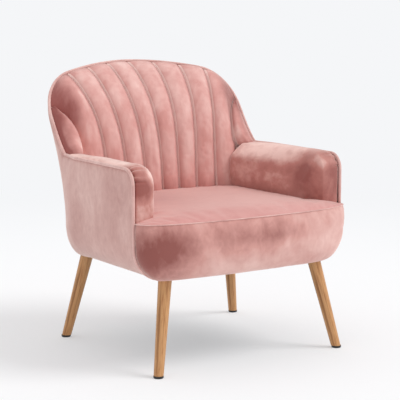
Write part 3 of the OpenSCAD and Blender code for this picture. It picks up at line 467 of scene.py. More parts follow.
# the stretched panels are pale, with faint patches; their deepest colour goes to the painted shade beside the
# piping
velvet_side = velvet_material("brushed velvet sides", ("#b8837d", "#d0a39c", "#e5c0b8"), streak=(1, 1, 0.6),
                              patch_mm=90, contrast=0.16)
# the arms are handled most, which leaves small marks; the palest colour goes to the painted sheen on their
# tops and the deepest to the painted shade beside the piping and in the corner gathers
velvet_arm = velvet_material("brushed velvet arms", ("#98554e", "#c4867d", "#f4cec5"), streak=(1, 0.6, 0.8),
                             patch_mm=60, contrast=0.22, mottle=0.75)
# the front border is brushed by legs: upright marks; its deepest colour also goes to the painted shade on the
# left of the nose and in the grooves by the arms
velvet_front = velvet_material("brushed velvet front", ("#93544e", "#d39a92", "#edc4bc"),
                               streak=(0.7, 1, 0.5), patch_mm=80, contrast=0.23, mottle=0.8)
# pulled tight over its cord and paler than the panels: a painted sheen on the round cord
cord_velvet_with_painted_sheen = velvet_material("velvet piping with painted sheen", ("#c4908a", "#ddb0a9", "#ebc8c1"), streak=(1, 1, 1),
                              patch_mm=60)

# ---- Piping cord --------------------------------------------------------------------------------

CORD_STEP = 2.2                                     # mm between a cord's rings


def cord_mesh(name, node, route, radius, outward, spread=(0, 0, 0), sides=14):
    """Round covered cord along a route, in the place of a construction node.

    outward is the direction away from the pad at the origin, and spread how it changes over a metre."""
    route = np.asarray(route, float)
    place = along_route(route)
    wanted = np.linspace(0, place[-1], max(int(place[-1] / (CORD_STEP * MM)), 2) + 1)
    line = points_at(route, place, wanted, 6)
    rings = len(line)
    along = np.gradient(line, axis=0)
    along /= np.linalg.norm(along, axis=1, keepdims=True)
    side = np.cross(along, line * spread + outward)
    side /= np.linalg.norm(side, axis=1, keepdims=True)
    up = np.cross(side, along)
    angles = np.arange(sides) * 2 * math.pi / sides
    # the cover is slightly uneven and shows a trace of the cord's twist
    twist = 0.05 * np.sin(np.arange(rings) * CORD_STEP / 2.4)[:, None] * np.sin(3 * angles)[None, :]
    swell = 1 + 0.05 * cloud(line, 0.02, 3.1)[:, None] + 0.35 * twist
    ring = radius * swell[..., None] * (
        np.cos(angles)[None, :, None] * up[:, None, :] + np.sin(angles)[None, :, None] * side[:, None, :])
    points = (line[:, None, :] + ring).reshape(-1, 3)
    index = np.arange(rings * sides).reshape(rings, sides)
    after = np.roll(index, -1, axis=1)
    faces = np.stack([index[:-1], after[:-1], after[1:], index[1:]], -1).reshape(-1, 4).tolist()
    faces.append(index[0, ::-1].tolist())
    faces.append(index[-1].tolist())
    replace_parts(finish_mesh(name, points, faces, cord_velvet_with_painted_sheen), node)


# ---- Shape of the outside ------------------------------------------------------------------------

CORNER_X = HALF - REAR_CORNER                       # centre of a rear corner, seen from above
CORNER_Y = BACK_FOOT - REAR_CORNER
JOINT_ANGLE = math.asin((BACK_JOINT - CORNER_Y) / REAR_CORNER)  # where on the corner the arm's piping ends
ARCH_X = BACK_HALF - CROWN_CORNER                   # centre of a top corner, seen from the front
ARCH_SLOPE = math.asin(ARCH_X / (CROWN_RADIUS - CROWN_CORNER))  # slope where it runs into the top edge
ARCH_Z = TOP_Z - CROWN_RADIUS + (CROWN_RADIUS - CROWN_CORNER) * math.cos(ARCH_SLOPE)
ARCH_END_X = ARCH_X + CROWN_CORNER * math.sin(ARCH_SLOPE)
ARCH_END_Z = ARCH_Z + CROWN_CORNER * math.cos(ARCH_SLOPE)
CROWN_Y = TOP_Y - CROWN_BOW
LEAN_START = UNDER + TUCK + 5 * MM                  # the outside is upright below here and leans out above
SHOULDER = 15 * MM                                  # height over which the outside rolls into the piping
LEAN_SWELL = 2 * MM                                 # belly of the leaning part
LEAN_OUT = 8 * MM                                   # how far it stands outside a straight line to the piping
TACKED_BELLY = 1.2 * MM                             # belly of the whole panel, which is tacked at both ends
WELT_DIP, WELT_REACH = 4.2 * MM, 3.5 * MM           # depth and reach of its dip to the piping
SEAM_DIP = 1.3 * MM                                 # depth of an upright seam
REAR_SEAM = 0.58                                    # where the side panels are sewn to the rear panel
WAVY = 0.8 * MM                                     # unevenness of the stretched panels
# places on an upright line, as shares of its height, closer together near the piping
RISES = np.concatenate([np.linspace(0, 0.8, 22, endpoint=False),
                        1 - (1 - np.linspace(0, 1, 24)) ** 1.8 * 0.2])

# A place round the back is given by q: 0 at the arm, 1 at the middle.
Q_CORNER, Q_ARCH = 0.3, 0.62                        # where the piping's top corner starts and ends
Q_FLAT = 0.72                                       # where the rear corner's foot ends


def arch_z(x):
    """Height of the back's edge over a place across."""
    x = np.abs(x)
    crown = TOP_Z - CROWN_RADIUS + np.sqrt(CROWN_RADIUS ** 2 - np.minimum(x, ARCH_END_X) ** 2)
    corner = ARCH_Z + np.sqrt(np.maximum(0, CROWN_CORNER ** 2 - (x - ARCH_X) ** 2))
    return np.where(x < ARCH_END_X, crown, corner)


def arch_x(z):
    """Half of the back's width at a height."""
    corner = ARCH_X + np.sqrt(np.maximum(0, CROWN_CORNER ** 2 - np.maximum(z - ARCH_Z, 0) ** 2))
    return np.where(z > ARCH_Z, corner, BACK_HALF)


def wing_y(z):
    """How far back the piping is at a height between an arm and the top edge."""
    share = np.clip((np.asarray(z, float) - ARM_Z) / (ARCH_END_Z - ARM_Z), 0, None)
    return BACK_JOINT + (CROWN_Y - BACK_JOINT) * share ** 0.8


def bow_at(x):
    """A V with a round bend, 0 in the middle."""
    return np.sqrt(np.square(x) + CROWN_BEND ** 2) - CROWN_BEND


def crown_edge_y(x):
    """Seen from above the top edge is two nearly straight sweeps that meet in a round bend."""
    return TOP_Y - CROWN_BOW * bow_at(x) / bow_at(ARCH_END_X)


def edge_point(q):
    """A place on the right half of the back's piping."""
    if q < Q_CORNER:
        z = ARM_Z + (ARCH_Z - ARM_Z) * q / Q_CORNER
        return np.array([float(arch_x(z)), float(wing_y(z)), z])
    if q < Q_ARCH:
        a = (q - Q_CORNER) / (Q_ARCH - Q_CORNER) * (math.pi / 2 - ARCH_SLOPE)
        z = ARCH_Z + CROWN_CORNER * math.sin(a)
        return np.array([ARCH_X + CROWN_CORNER * math.cos(a), float(wing_y(z)), z])
    x = ARCH_END_X * (1 - q) / (1 - Q_ARCH)
    return np.array([x, float(crown_edge_y(x)), float(arch_z(x))])


def corner_foot(a):
    """A place on the rear corner seen from above, with its outward direction."""
    return np.array([CORNER_X + REAR_CORNER * math.cos(a), CORNER_Y + REAR_CORNER * math.sin(a),
                     math.cos(a), math.sin(a)])


def side_foot(y):
    """A place on the side seen from above, with its outward direction."""
    if y < CORNER_Y:
        return np.array([HALF, y, 1.0, 0.0])
    return corner_foot(math.asin((y - CORNER_Y) / REAR_CORNER))


def rear_foot(q):
    """The place round the rear, seen from above, that is below edge_point(q), with its outward direction."""
    if q < Q_FLAT:
        return corner_foot(JOINT_ANGLE + (math.pi / 2 - JOINT_ANGLE) * (q / Q_FLAT) ** 1.6)
    return np.array([CORNER_X * (1 - q) / (1 - Q_FLAT), BACK_FOOT, 0.0, 1.0])


def arm_edge(y):
    """The arm's piping over a place along the arm; its rear end turns in to meet the back's piping."""
    turn = ARM_FRONT + ARM_CORNER - y
    z = ARM_Z - ARM_CORNER + (ARM_CORNER if turn <= 0 else math.sqrt(max(0.0, ARM_CORNER ** 2 - turn ** 2)))
    foot = side_foot(y)
    inward = turn_share(y) * (foot[0] - edge_point(0)[0])
    return np.array([foot[0] - inward, foot[1], z])


def turn_share(y):
    """0 beside the arm, where the panel stands upright, and 1 where it has turned in to the back."""
    return float(smooth(BACK_JOINT - ARM_TURN, BACK_JOINT, y))


def outer_line(foot, edge, turn=1.0, seam=0.0):
    """One upright line of the outside, from the turned-under edge up to the piping.

    Its top rolls over a shoulder into the piping, as much as turn says. seam, from 0 to 1, sinks the line
    into a sewn seam."""
    x, y, nx, ny = foot
    deep = REAR_TUCK + (TUCK - REAR_TUCK) * max(nx, 0) ** 8
    line = []
    for a in np.linspace(0, math.pi / 2, 16)[:-1]:
        reach = -deep + deep * math.sin(a)
        line.append((x + nx * reach, y + ny * reach, UNDER + TUCK - TUCK * math.cos(a)))
    z0, z1 = UNDER + TUCK, edge[2] - 0.2 * CORD
    for rise in RISES:
        z = z0 + (z1 - z0) * rise
        lean = max(0.0, (z - LEAN_START) / (edge[2] - LEAN_START)) ** 2
        shoulder = math.sqrt(max(0.0, 1 - (1 - min((z1 - z) / SHOULDER, 1)) ** 2))
        swell = turn * (LEAN_SWELL * math.sin(math.pi * lean) + LEAN_OUT * lean) * shoulder
        belly = TACKED_BELLY * math.sin(math.pi * min(1, (z - UNDER) / (z1 - UNDER)))
        dip = WELT_DIP * math.exp(-(z1 - z) / WELT_REACH)
        out = swell + belly - dip - SEAM_DIP * seam
        line.append((x + lean * (edge[0] - x) + nx * out, y + lean * (edge[1] - y) + ny * out, z))
    return line


def back_line(q):
    """An upright line round the rear, sunk where a side panel is sewn to the rear panel."""
    return outer_line(rear_foot(q), edge_point(q), seam=float(np.exp(-((q - REAR_SEAM) / 0.007) ** 2)))


def arm_pucker(grid):
    """Small upright puckers where the panel is pulled in under the arm's piping."""
    y = grid[..., 1]
    edge = np.array([[arm_edge(float(v))[2] if v < BACK_JOINT else ARM_Z for v in row] for row in y])
    down = np.maximum(edge - grid[..., 2], 0)
    wave = noise_line(y, 11 * MM) * fade(down, 14 * MM) * (1 - fade(down, 4 * MM))
    return 1.3 * MM * wave * (y < BACK_JOINT)


def side_panel(side):
    """The panel from an arm's front, along the arm and round the rear corner to the upright seam."""
    corner = np.linspace(ARM_FRONT + 1 * MM, ARM_FRONT + ARM_CORNER, 18, endpoint=False)
    straight = np.linspace(ARM_FRONT + ARM_CORNER, BACK_JOINT, 76, endpoint=False)
    lines = [outer_line(side_foot(y), arm_edge(y), turn_share(y)) for y in np.concatenate([corner, straight])]
    lines += [back_line(q) for q in np.linspace(0, REAR_SEAM, 70)]
    grid = np.array(lines)
    normal = outward_normals(grid, (1, 0, 0))
    grid = grid + normal * (WAVY * cloud(grid, 0.11, 5.0 + side) + arm_pucker(grid))[..., None]
    name = hand(side)
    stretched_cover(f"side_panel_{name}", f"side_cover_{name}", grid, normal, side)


def rear_panel():
    """The panel over the outside of the back, between the two upright seams."""
    beside_seam = np.linspace(REAR_SEAM, REAR_SEAM + 0.03, 8, endpoint=False)
    places = np.concatenate([beside_seam, np.linspace(REAR_SEAM + 0.03, 1, 50)])
    grid = both_halves([back_line(q) for q in places])
    normal = outward_normals(grid, (0, 1, 0))
    grid = grid + normal * (WAVY * cloud(grid, 0.13, 9.0))[..., None]
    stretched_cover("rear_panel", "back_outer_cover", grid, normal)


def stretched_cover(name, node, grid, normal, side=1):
    """A single layer of velvet pulled tight over its board, 2 mm thick with its backing."""
    inside = grid - normal * 2 * MM
    mirror(side, grid, inside)
    piece = slab(name, grid, inside, velvet_side)
    # painted shade in the last few millimetres beside the piping, along the top and up the arm's front
    down = grid[:, ::-1]
    to_top = np.cumsum(np.linalg.norm(np.diff(down, axis=1, append=down[:, -1:]), axis=2), axis=1)[:, ::-1]
    store_nap_and_painted_light(piece, grid, -1.8 * (fade(to_top, 4 * MM) + fade(np.abs(grid[..., 1] - ARM_FRONT), 4 * MM)))
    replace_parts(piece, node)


# ---- Shape of the inside of the back --------------------------------------------------------------

FAN_BOTTOM = SEAM_Z - 4 * MM                        # the channels run down behind the seat to here
FAN_HALF_BOTTOM = SEAT_HALF - 4 * MM
FAN_HALF_TOP = BACK_HALF - 8 * MM
WING_TOP_X = FAN_HALF_TOP + 4.5 * MM                # where the outermost seam runs out under the piping
WING_LOW = ARM_Z - 14 * MM                          # where the wings come up out of the arms
CHANNEL_RISE = 18 * MM                              # how far a channel's stuffing stands out from its seams
WING_RISE = 26 * MM
TOP_ROLL = 0.24                                     # share of the stuffing that is left at the top edge
COVER_DEPTH = 8 * MM                                # from the channels' seams to their cover's inner side
PINCH = 0.155                                       # how much narrower the middle channels are at the seat


def back_share(z):
    """Share of the height from the seat's crown to the back's top."""
    return (z - SEAM_Z - 13 * MM) / (TOP_Z - SEAM_Z - 15 * MM)


def back_y(z):
    """Middle line of the back: it leans back evenly and rolls over at the top."""
    h = back_share(z)
    return SEAT_BACK + 45 * MM * h + BACK_ROLL * np.maximum(0, h) ** 4


def valley_y(x, z):
    """The back between the channels curves forward towards its sides, more so higher up."""
    h = back_share(z)
    return back_y(z) - (12 + 32 * h * h) * MM * (x / FAN_HALF_TOP) ** 2


def seam_point(j, v):
    """Point between the seat, v = 0, and the back's edge, v = 1, on a line of the fan.

    j numbers the seams from the middle one, 0, to the outermost ones, -4 and 4, and may be between seams."""
    out = np.abs(j) / SEAMS
    top_x = FAN_HALF_TOP * j / SEAMS + (WING_TOP_X - FAN_HALF_TOP) * np.sign(j) * out ** 12
    top_z = arch_z(top_x)
    top_y = np.where(top_z > ARCH_END_Z, crown_edge_y(top_x), wing_y(top_z))
    low_x = FAN_HALF_BOTTOM * j / SEAMS * (1 - PINCH + PINCH * out)
    z = FAN_BOTTOM + (top_z - FAN_BOTTOM) * v
    x = low_x + (top_x - low_x) * np.maximum(v, 0) ** (2 + 4.5 * out ** 6)
    y = valley_y(x, z) + (top_y - valley_y(top_x, top_z)) * np.maximum(v, 0) ** 4
    return np.stack([x + np.sign(j) * hook(z) * out ** 10, y, z], -1)


def hook(z):
    """The outermost seams turn outward just above the arms, where they are pulled down behind them."""
    down = np.clip((ARM_Z + 24 * MM - z) / (40 * MM), 0, 0.75)
    return 16 * MM * down ** 2


def outer_seam_at(z):
    """Points of the outermost seam at the given heights."""
    v = (z - FAN_BOTTOM) / (float(arch_z(WING_TOP_X)) - FAN_BOTTOM)
    return seam_point(np.full_like(v, SEAMS), v)[:, 0, :]


def forward(z):
    """Unit vector out of the back toward the sitter, square to the middle seam."""
    v = (np.minimum(z, TOP_Z - 40 * MM) - FAN_BOTTOM) / (TOP_Z - FAN_BOTTOM)
    step = 0.5 * MM / (TOP_Z - FAN_BOTTOM)
    tilt = np.arctan((seam_point(0.0, v + step)[..., 1] - seam_point(0.0, v - step)[..., 1]) / MM)
    return np.stack([np.zeros_like(tilt), -np.cos(tilt), np.sin(tilt)], -1)


def channel_round(share):
    """Section of a stuffed channel: 0 at its seams and 1 along its middle, full near the seams."""
    t = np.clip(2 * share - 1, -1, 1)
    return (1 - np.abs(t) ** 2.3) ** 0.62


def seam_spaced(count):
    """Places across one channel, closer together near its seams."""
    return [i / count - 0.10 * math.sin(2 * math.pi * i / count) for i in range(count)]


def channel_fan():
    """The eight channels that fan out over the back, from the seat to the top edge."""
    spots = seam_spaced(22)
    j = np.array([k + share for k in range(-SEAMS, SEAMS) for share in spots] + [SEAMS])[None, :]
    share = np.array(spots * 2 * SEAMS + [1.0])[None, :]
    low_part = np.linspace(0, 0.9, 96, endpoint=False)
    v = np.concatenate([low_part, 1 - 0.1 * np.linspace(1, 0, 30) ** 1.5])[:, None]
    to_top = 1 - v
    valley = seam_point(j + 0 * v, v + 0 * j)
    push = forward(valley[..., 2])
    # the stuffing thins out towards the top edge, where the cover is sewn to the piping, and at the seat
    near_top = rising(to_top, 0.12)
    full = TOP_ROLL + (1 - TOP_ROLL) * np.sqrt(near_top * (2 - near_top))
    full = channel_round(share) * full * (1 - 0.5 * fade(v, 0.035))
    rise = full * (CHANNEL_RISE + 0.5 * MM + 0.9 * MM * cloud(valley, 0.05, 1.3))
    # the last few millimetres dip to the piping
    rise = rise * (1 - fade(to_top, 0.012)) - 3.2 * MM * fade(to_top, 0.011)
    grid = valley + push * rise[..., None]
    # creases at the foot, where the channels are pulled down behind the seat
    crease = np.abs(noise_line(grid[..., 0] + 0.25 * grid[..., 2], 11 * MM, 4.0))
    grid = grid + push * (2 * MM * crease * fade(v, 0.09) * channel_round(share))[..., None]
    # painted highlight on the lip after each seam; painted shade on the flank before it, in the seam itself,
    # on the outermost channels most towards the top, at the foot by the seat and in the last millimetres
    # under the top piping; the cloud adds patches in the pile
    outermost = smooth(3.2, 3.9, np.abs(j))
    nap_and_painted_light = 0.2 + 3.6 * bump(share, 0.02, 0.015) * (1 - outermost) - 1.5 * bump(share, 0.93, 0.09)
    nap_and_painted_light = nap_and_painted_light - 2.0 * bump(share, 0.0, 0.006) - 1.1 * outermost * smooth(0.62, 0.9, v)
    nap_and_painted_light = nap_and_painted_light - 0.2 * np.maximum(0, np.abs(j) - 3) - 0.5 * bump(v, 0.02, 0.1) * (np.abs(j) < 3)
    nap_and_painted_light = nap_and_painted_light - 1.5 * fade(to_top, 0.012)
    nap_and_painted_light = nap_and_painted_light + 0.22 * cloud(grid * (1, 1, 0.35), 0.03, 21.0)
    free = rising(v, 0.03) * rising(to_top, 0.05) * rising(np.minimum(share, 1 - share), 0.16)
    padded_cover("channel_back", ("back_channel_cover", "channel_fillings"), grid,
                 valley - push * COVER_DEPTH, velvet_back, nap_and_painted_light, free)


def wing_channel(side):
    """The lens-shaped channel between the outermost seam and the piping. Below the arm it runs on flat."""
    w = np.concatenate([np.linspace(-1, 0, 12, endpoint=False), np.linspace(0, 1, 84)])[:, None]
    over = np.clip(w, 0, 1)
    share = np.array(seam_spaced(28) + [1.0])[None, :]
    top = float(arch_z(WING_TOP_X)) - WING_LOW
    z_in, z_out = (WING_LOW + (top - short) * over + (WING_LOW - FAN_BOTTOM) * w.clip(max=0)
                   for short in (3 * MM, 8 * MM))
    inner = outer_seam_at(z_in)
    tucked_in = 4 * MM + 23 * MM * (w < 0)
    outer = np.concatenate([arch_x(z_out) - tucked_in, wing_y(z_out) + 4 * MM * (w < 0), z_out], -1)
    base = inner[:, None, :] + (outer - inner)[:, None, :] * share[..., None]
    # the wing leans inward, so its stuffing pushes inward as well as forward
    push = forward(base[..., 2]) + (-0.42, 0, 0)
    push /= np.linalg.norm(push, axis=-1, keepdims=True)
    full = rising(w, 0.05) * (0.3 + 0.7 * np.sqrt(rising(1 - over, 0.5)))
    # low down the stuffing is fuller and lies further out
    fuller = 1.0 + 0.4 * (1 - smooth(0, 0.45, over))
    section = channel_round(share ** (1.35 + 0.45 * (1 - smooth(0.1, 0.6, over))))
    rise = WING_RISE * section * full * fuller
    rise = rise + channel_round(share) * full * MM * cloud(base, 0.04, 2.2 + side)
    rise = rise + wing_pucker(share, over) * (w > 0) - 4 * MM * fade(1 - over, 0.012)
    grid = base + push * rise[..., None]
    inside = base - push * COVER_DEPTH
    mirror(side, grid, inside)
    # painted highlight on the lip beside the inner seam, painted shade towards the piping, along it and
    # towards the pinched top, paler low down; the cloud adds patches in the pile
    nap_and_painted_light = 1.8 * bump(share, 0.06, 0.05) - 0.7 * smooth(0.3, 0.95, share) - 1.5 * bump(share, 1.0, 0.05)
    nap_and_painted_light = nap_and_painted_light - 0.9 * fade(1 - over, 0.25) + 0.5 * bump(over, 0.25, 0.2) - 0.05 + 0.4 * cloud(grid, 0.04, 8.0)
    free = rising(np.minimum(share, 1 - share), 0.14) * rising(w, 0.08) * rising(1 - w, 0.12)
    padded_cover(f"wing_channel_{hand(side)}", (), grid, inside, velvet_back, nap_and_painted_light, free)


def wing_pucker(share, w):
    """Creases that run up from the arm and down from the pinched top end of a wing."""
    foot = fade(w, 0.12) * np.sin(share * 23 + 1.1 + 3 * w)
    tip = fade(1 - w, 0.14) * np.sin(share * 13 + 0.4)
    return (2.8 * MM * foot + 2.6 * MM * tip) * channel_round(share)


# ---- Seat ----------------------------------------------------------------------------------------

SEAT_REAR = SEAT_BACK - 8 * MM                      # rear edge of the seat's cover
SEAT_UNDER = HALF - 5 * MM                          # half of its width where the arms stand on it
SEAT_COVER = 7 * MM                                 # from its outer to its inner side
BORDER_COVER = 6 * MM
BORDER_GROOVE = 2.8 * MM                            # depth of the groove where the border meets a side panel
SEAT_MARKS = [(-1.5, (-0.17, 0.02), (0.10, 0.20), 0.3), (0.7, (0.05, -0.19), (0.22, 0.09), 0)]
# patches on the front border, by place across and height: the two dark ones on the left of the nose are
# painted shade and the pale one on its right a painted highlight
BORDER_MARKS_AND_PAINTED_LIGHT = [(-1.1, (-0.265, 0.32), (0.07, 0.06), 0.2), (-0.9, (-0.31, 0.28), (0.06, 0.10), 0),
                (0.6, (0.19, 0.31), (0.09, 0.05), 0), (0.7, (-0.04, 0.23), (0.10, 0.06), 0),
                (-0.8, (0.02, 0.34), (0.20, 0.03), 0)]


def nose_foot(f):
    """The seat's rounded front seen from above: the angle f goes from its right end, 0, to its left end."""
    x = HALF * np.sign(np.cos(f)) * np.abs(np.cos(f)) ** 0.75 + NOSE_SWELL * np.sin(2 * f)
    y = ARM_FRONT - NOSE_DEPTH * np.maximum(np.sin(f), 0) ** 0.75
    return x, y


def nose_out(f):
    """Direction out of the nose, seen from above."""
    x, y = np.cos(f) * 0.72, -np.sin(f)
    length = np.hypot(x, y)
    return x / length, y / length


def seat_top_z(x, y):
    """Height of the crowned seat."""
    middle, reach = (FRONT_Y + SEAT_REAR) / 2, (SEAT_REAR - FRONT_Y) / 2
    across = 1 - np.minimum(1, np.abs(x) / HALF) ** 4
    along = 1 - np.minimum(1, np.maximum(middle - y, 0) / reach) ** 6
    return SEAM_Z + SEAT_CROWN * across * along


def seat_cushion():
    """The seat's cover, from the seam round its front, between the arms, to the crease at the back."""
    foot_x, foot_y = nose_foot(np.linspace(math.radians(177), math.radians(3), 110))
    join = ARM_FRONT - 4 * MM
    spread = np.clip(foot_x / HALF, -1, 1)
    rows = []
    for s in np.linspace(0, 1, 26) ** 1.5:
        x = foot_x + (spread * SEAT_UNDER - foot_x) * s
        y = foot_y + (join - foot_y) * s
        z = SEAM_Z + (seat_top_z(x, np.maximum(y, foot_y)) - SEAM_Z) * (1 - fade(s, 0.06)) + 0.4 * MM
        rows.append(np.stack([x, y, z], -1))
    for s in np.linspace(0, 1, 80)[1:]:
        y = join + (SEAT_REAR - join) * s
        narrow = float(smooth(0, 0.13, s))         # the arms' rounded front ends stand on the seat
        x = spread * (SEAT_UNDER * (1 - narrow) + (SEAT_HALF - 1 * MM - 0.5 * toe_in(y)) * narrow)
        rows.append(np.stack([x, np.full_like(x, y), seat_top_z(x, y)], -1))
    grid = np.array(rows)
    grid[..., 2] += 0.9 * MM * cloud(grid, 0.16, 7.0)
    inside = grid.copy()
    inside[..., 0] *= 1 - SEAT_COVER / HALF
    inside[..., 1] += SEAT_COVER * (1 - smooth(FRONT_Y, ARM_FRONT, grid[..., 1]))
    inside[..., 2] = SEAM_Z - 8 * MM
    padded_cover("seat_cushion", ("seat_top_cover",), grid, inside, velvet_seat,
                 0.35 + oval_patches(grid, (0, 1), SEAT_MARKS), held_round(grid, 7), cap=7 * MM)


def front_border():
    """The padded border round the seat's front, from its seam down to the turned-under edge."""
    f = np.radians(np.concatenate([[0.1, 0.45], np.linspace(1, 179, 150), [179.55, 179.9]]))
    foot_x, foot_y = nose_foot(f)
    out_x, out_y = nose_out(f)
    deep = NOSE_UNDERCUT + (TUCK - NOSE_UNDERCUT) * np.abs(np.cos(f)) ** 12
    levels = [(-deep + deep * math.sin(a), UNDER + TUCK - TUCK * math.cos(a))
              for a in np.linspace(0, math.pi / 2, 18)[:-1]]
    for t in np.linspace(0, 1, 34):
        # it bellies out and is drawn in again just below the seam
        belly = 2.5 * MM * math.sin(math.pi * t) - 1.8 * MM * math.exp(-(1 - t) / 0.05)
        levels.append((belly, UNDER + TUCK + (SEAM_Z - UNDER - TUCK) * t))
    grid = np.array([np.stack([foot_x + out_x * out, foot_y + out_y * out, np.full_like(f, z)], -1)
                     for out, z in levels])
    normal = outward_normals(grid, (0, -1, 0))
    gap = np.linalg.norm(np.stack([foot_x - HALF * np.sign(foot_x), foot_y - ARM_FRONT]), axis=0)[None, :]
    groove = BORDER_GROOVE * fade((gap - 3 * MM).clip(0), 4.5 * MM)
    grid = grid + normal * (1.2 * MM * cloud(grid, 0.12, 4.4) - groove)[..., None]
    # painted shade in the groove beside each arm, with the border's patches of painted shade and highlight
    # and the cloud's patches in the pile
    nap_and_painted_light = 0.2 - 1.5 * fade(gap, 7 * MM) + 0.2 * cloud(grid, 0.06, 31.0)
    nap_and_painted_light = nap_and_painted_light + oval_patches(grid, (0, 2), BORDER_MARKS_AND_PAINTED_LIGHT)
    padded_cover("front_border", ("front_border_cover",), grid, grid - normal * BORDER_COVER, velvet_front,
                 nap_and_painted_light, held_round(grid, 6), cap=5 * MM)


# ---- Arms ----------------------------------------------------------------------------------------

# Section of an arm's pad: distance inward from the side panel and height over the piping, in mm
ARM_SECTION = [(2, -6.5), (5.5, -4), (8.5, 2), (12, 5), (19, 8), (28, 9.5), (38, 9.5), (48, 7), (56, 1.5),
               (62, -6), (67, -16), (70.5, -29), (72.5, -45)]
ARM_END = ARM_REAR + 8 * MM                         # the pad runs on into the crease between arm and back
ARM_FOOT = SEAM_Z - 6 * MM                          # the pad goes down behind the seat's seam to here
# painted shade in the gathers at an arm's front corner: strength, centre and size along the arm and up, and
# turn
CORNER_GATHER_SHADE = [(1, (ARM_FRONT + 18 * MM, ARM_Z - 26 * MM), (46 * MM, 50 * MM), 0.4)]
# on the inner side of the right arm, by place along the arm and height
RIGHT_ARM_MARKS = [(-1.1, (-205 * MM, ARM_Z - 40 * MM), (40 * MM, 75 * MM), 0.4),
                   (0.6, (-20 * MM, ARM_Z - 70 * MM), (110 * MM, 60 * MM), 0)]


def arm_section():
    """Evenly spaced points of the section, as distance inward, height and share of the way round."""
    section = np.array(ARM_SECTION, float) * MM
    place = along_route(section)
    wanted = np.linspace(0, place[-1], 48)
    line = points_at(section, place, wanted, 3)
    return line[:, 0], line[:, 1], wanted / place[-1]


def toe_in(y):
    """How far the stuffing of an arm leans in over the seat at a place along the arm."""
    return 33 * MM * smooth(-210 * MM, 80 * MM, y)


def arm_line(inward, lift):
    """One line of the arm's cover seen from the side: up the front, round the corner and back."""
    radius = max(ARM_CORNER + lift, 4 * MM)
    y0 = ARM_FRONT - (0.3 * lift if lift > 0 else lift)
    cy, cz = y0 + radius, ARM_Z + lift - radius
    up = [(y0, ARM_FOOT + (cz - ARM_FOOT) * t) for t in np.linspace(0, 1, 34, endpoint=False)]
    turn = [(cy + radius * math.cos(a), cz + radius * math.sin(a))
            for a in np.linspace(math.pi, math.pi / 2, 36, endpoint=False)]
    # a crest sinks towards the rear
    sinking = 0.6 * (lift > 0)
    back = [(y, ARM_Z + lift * (1 - sinking * float(smooth(-80 * MM, ARM_END, y))))
            for y in cy + (ARM_END - cy) * np.linspace(0, 1, 70)]
    return np.array([(arm_x(inward, y), y, z) for y, z in up + turn + back])


def arm_x(inward, y):
    """How far across the cover is at a distance inward; near the side panel it follows the arm's piping."""
    left = ARM_THICKNESS - inward
    share = min(1.0, left / (ARM_THICKNESS - CORD))
    return SEAT_HALF + left - (HALF - arm_edge(max(y, ARM_FRONT))[0]) * share * share


def arm_gathers(grid, way_round, side):
    """Pleats that fan out from the piping round the arm's front corner, twice as deep on the left arm."""
    angle = np.degrees(np.arctan2(grid[..., 2] - (ARM_Z - ARM_CORNER), ARM_FRONT + ARM_CORNER - grid[..., 1]))
    near = np.exp(-(way_round / 0.32) ** 2) * (1 - fade(way_round, 0.03))
    window = smooth(-4, 14, angle) * (1 - smooth(64, 86, angle))
    folds = np.sin(np.radians(angle) * 16 + 0.9 * np.sin(np.radians(angle) * 5) + 3 * way_round)
    folds = np.sign(folds) * np.abs(folds) ** 0.8
    return (1.6 if side > 0 else 3.2) * MM * near * window * folds


